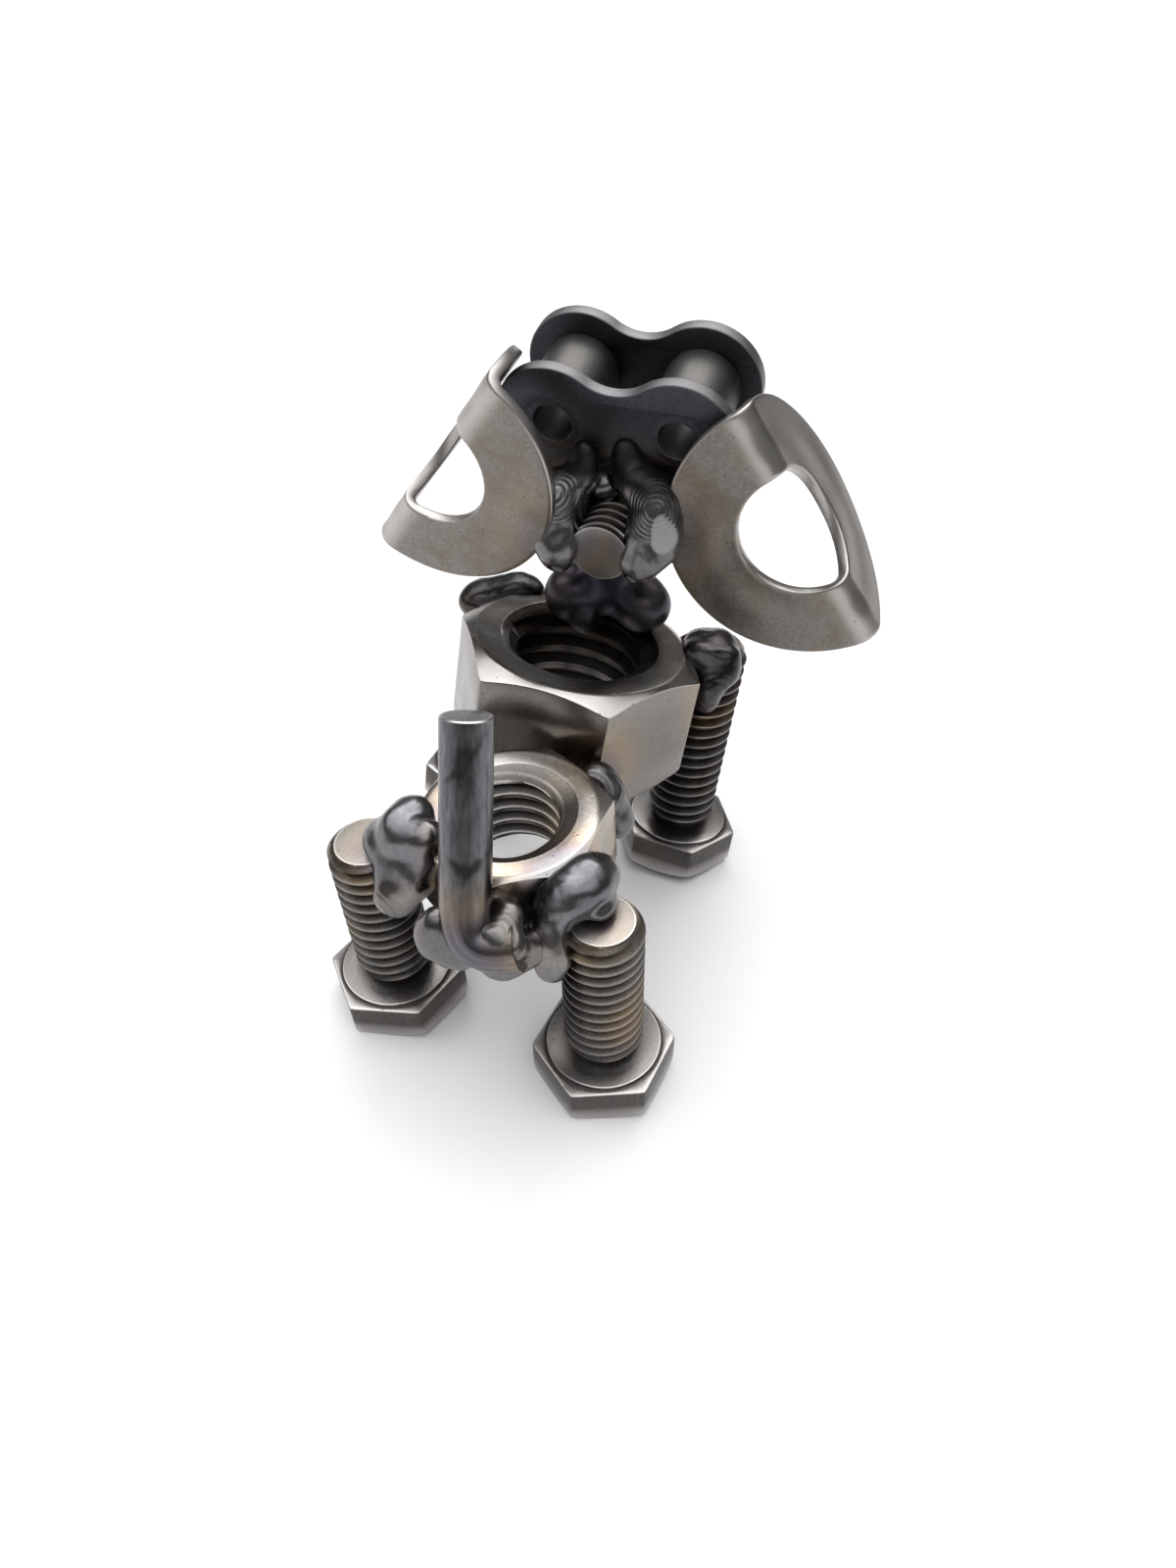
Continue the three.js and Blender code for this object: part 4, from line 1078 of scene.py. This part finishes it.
def weld(name, start, drops, finish, ripples, facets=(), lumpy=0.3, voxel=0.14, sooty_above=None):
    start = np.array(start)
    points, normals, faces = run_together([(start + offset, radii) for offset, radii in drops], voxel)
    swell = lumpy * np.array([noise.noise(Vector(p / LUMP_MM)) + 0.15 * noise.noise(Vector(p))
                              for p in points])
    dark = np.zeros(len(points))
    for centre, spacing, depth, reach in ripples:
        lift, slag = rippled(points, start + centre, spacing, depth, reach)
        swell = swell + lift
        dark = np.maximum(dark, slag)
    if sooty_above is not None:
        dark = np.maximum(dark, np.clip((points[:, 2] - sooty_above) / 1.2, 0, 0.85))
    points = points + normals * swell[:, None]
    light = np.zeros(len(points))
    for centre, facing in facets:
        facing = np.array(facing) / np.linalg.norm(facing)
        above = np.maximum((points - (start + centre)) @ facing, 0)
        points = points - facing * above[:, None] * FACET_CUT
        light = np.maximum(light, np.clip(above / 0.12, 0, 1) * FACET_SHINE)
    dark = dark * (1 - light / FACET_SHINE)
    piece(name, points, faces, finish, light, dark, sharp=80)


print("lumps are about", LUMP_MM, "mm wide")

# %% [markdown]
# The rear legs hang on the rump nut by two clean silver beads. Each could be scattered
# along a line by a rule, but a bead made by hand follows none. So every drop below is
# its middle, measured from the end of the bolt, and its half widths, in millimetres. A
# few small ones fill the waists where the metal ran together. After the finish come the
# sets of ripples: middle, spacing, depth and reach.

# %% Rear leg beads
END_REAR_LEFT = (16.277, 20.682, 23.676)
END_REAR_RIGHT = (-7.925, 23.175, 23.56)
weld("rear_left_leg_weld", END_REAR_LEFT, [
    ([-3.9, 0.2, 2.2], (2.5, 2.7, 3.1)),
    ([-4.1, 3.2, -2.9], (2.1, 2, 2.4)),
    ([-7, 1, 2.6], (2, 2.1, 2.8)),
    ([-4.6, -1.8, 3.6], (1.7, 1.7, 1.6)),
    ([-2, 0.1, 1.1], (1.9, 2.2, 1.6)),
    ([-6, 2.4, -0.7], (2, 2.1, 2.3)),
    ([-3.2, 1.9, -0.4], (1.6, 1.7, 1.8)),
], weld_steel, [([-3.0, 4.6, -3.4], 0.7, 0.03, 2.6)])
weld("rear_right_leg_weld", END_REAR_RIGHT, [
    ([3.8, 0.4, 1.4], (2.3, 2.3, 2.3)),
    ([2.4, -0.8, 2.3], (2.5, 2.5, 2.4)),
    ([1.5, -2.7, 2.6], (2.2, 2.1, 2)),
    ([4.6, 1.6, -0.9], (1.8, 1.8, 2.5)),
    ([3.7, 3.1, -3], (1.9, 1.8, 3)),
    ([4.4, 2.6, -1.4], (1.6, 1.6, 2.2)),
    ([0.2, -0.6, 1.0], (1.3, 1.6, 0.9)),
], weld_steel, [([4.6, 1.0, 2.0], 0.8, 0.025, 2.5)])

# %% [markdown]
# The tail's bead swallows the hook and shows the clearest crescents of all, and the
# bead between the two nuts hangs down on one side. Both froze in some air, so they have
# the duller finish. The tail's was laid in two runs, so it has two sets of ripples.

# %% Tail and body beads
RUMP_CORNER = (2.284, 5.72, 23.413)
weld("tail_weld", TAIL_KNEE, [
    ([3.1, -1.3, 0], (2.1, 2.1, 3.2)),
    ([1.1, -1.7, -1.1], (2.5, 2.2, 2.6)),
    ([-1, -3.2, -0.3], (2.6, 2.3, 2.6)),
    ([-2.9, -4.8, 1.2], (2, 2, 2.2)),
    ([-1.6, -4.1, 2.3], (1.9, 1.8, 1.5)),
    ([-3.4, -2.6, 3.2], (1.5, 1.5, 1.3)),
    ([-5.6, -2.2, 0.2], (1.4, 1.7, 1.9)),
    ([-3.0, -0.6, -1.4], (2.4, 1.4, 1.2)),
    ([-3.1, -0.4, 1.8], (2.7, 1.7, 2.1)),
], dull_weld_steel, [([-3.0, 0.2, 3.2], 0.62, 0.04, 3.0), ([-1.6, -4.1, 2.3], 0.6, 0.03, 2.6)])
weld("body_weld", RUMP_CORNER, [
    ([-5.2, 1.1, 1.8], (2, 1.8, 2)),
    ([-6.5, 1.8, 0.1], (2, 1.8, 2.3)),
    ([-7.7, 2.2, -2.2], (1.8, 1.7, 2.2)),
], dull_weld_steel, [([-5.0, 3.4, 2.0], 0.7, 0.03, 4.0)])

# %% [markdown]
# The front legs' beads sit like caps on the bolts' ends and run down to the chest nut.
# They are black with soot. The neck's bead is the biggest: five drops piled up between
# the chest nut and the nose bolt, overheated and almost free of lumps and ripples.

# %% Front leg and neck beads
END_FRONT_RIGHT = (-9.941, -14.84, 29.547)
END_FRONT_LEFT = (16.027, -17.134, 29.619)
CHEST_TOP = (3.439, -7.713, 31.512)
weld("front_right_leg_weld", END_FRONT_RIGHT, [
    ([-0.4, 4.2, -3.2], (1.8, 2.5, 3.2)),
    ([-1.7, 2.8, -1.2], (2, 2.2, 2.4)),
    ([0.7, 3.1, -0.4], (2, 2.1, 2)),
    ([0.1, 0.9, 0.2], (3.0, 2.8, 1.2)),
], sooty_weld_steel, [([-1.4, 6.0, -2.6], 0.8, 0.03, 3.0)])
weld("front_left_leg_weld", END_FRONT_LEFT, [
    ([0.2, 1.8, 0.2], (3.2, 2.8, 1.7)),
    ([-3, 1.1, 1.4], (2.8, 2.2, 1.6)),
    ([1.6, 2.9, -0.5], (2.1, 2, 1.7)),
], sooty_weld_steel, [])
weld("neck_weld", CHEST_TOP, [
    ([-5.2, -6.3, 1.6], (3.1, 3.1, 3.1)),
    ([2.4, -5.3, 2], (3.3, 3, 3.3)),
    ([0.9, -3.7, -0.1], (1.3, 1.3, 1.6)),
    ([-0.9, -8, 2.6], (4, 3.2, 3.6)),
    ([-1.5, -7.5, 6.4], (3.2, 3.4, 3.4)),
], hot_weld_steel, [], lumpy=0.12)

# %% [markdown]
# The two ear beads climb from the nose bolt past the ears to the chain link, and each
# was touched once with a grinder. A facet is a point on it and the way it faces. The
# crescents here are the finest, so the skin is remeshed a little finer than the others.

# %% Ear beads
NOSE_END = (1.699, -7.093, 42.512)
SOOT_FROM = 48.6   # mm above the floor
weld("left_ear_weld", NOSE_END, [
    ([5.5, -0.7, 1.7], (2, 2.2, 3.5)),
    ([4.1, 0, -0.6], (1.7, 1.8, 2.1)),
    ([5.7, -2.8, 4.3], (2.1, 2.3, 2.4)),
    ([3.8, -3.3, 5.3], (2, 2.2, 2)),
    ([4, -5.2, 2.2], (1.9, 2, 2.4)),
    ([2.9, -3.7, 7.6], (1.7, 1.3, 2.2)),
    ([3.6, -2.0, 2.6], (1.4, 2.2, 2.2)),
    ([3.9, -1.2, 0.6], (1.3, 1.8, 1.8)),
], dull_weld_steel, [([4.6, 0.6, 6.2], 0.42, 0.05, 3.4)], [([6.2, 1.2, 2.0], (0.35, 0.9, 0.15))],
    voxel=0.1, sooty_above=SOOT_FROM)
weld("right_ear_weld", NOSE_END, [
    ([-5.5, -1.6, 2.6], (2.6, 2.6, 3.8)),
    ([-4.2, -1.2, -0.5], (1.9, 2.1, 2.2)),
    ([-4.7, -2.9, 5.5], (2.5, 2.6, 2.5)),
    ([-2.4, -3.9, 6.3], (2.1, 2.2, 2.1)),
    ([-1.1, -4.6, 8.3], (1.7, 1.3, 2.2)),
    ([1.2, -6, 4.5], (2.6, 2.2, 2)),
    ([-3.6, -1.4, 1.8], (1.3, 2.0, 2.4)),
    ([-3.7, -1.0, -0.6], (1.4, 1.8, 1.6)),
], dull_weld_steel, [([-5.4, -0.2, 5.6], 0.42, 0.05, 3.4)], [([-6.4, 0.45, 2.9], (-0.4, 0.9, 0.15))],
    voxel=0.1, sooty_above=SOOT_FROM)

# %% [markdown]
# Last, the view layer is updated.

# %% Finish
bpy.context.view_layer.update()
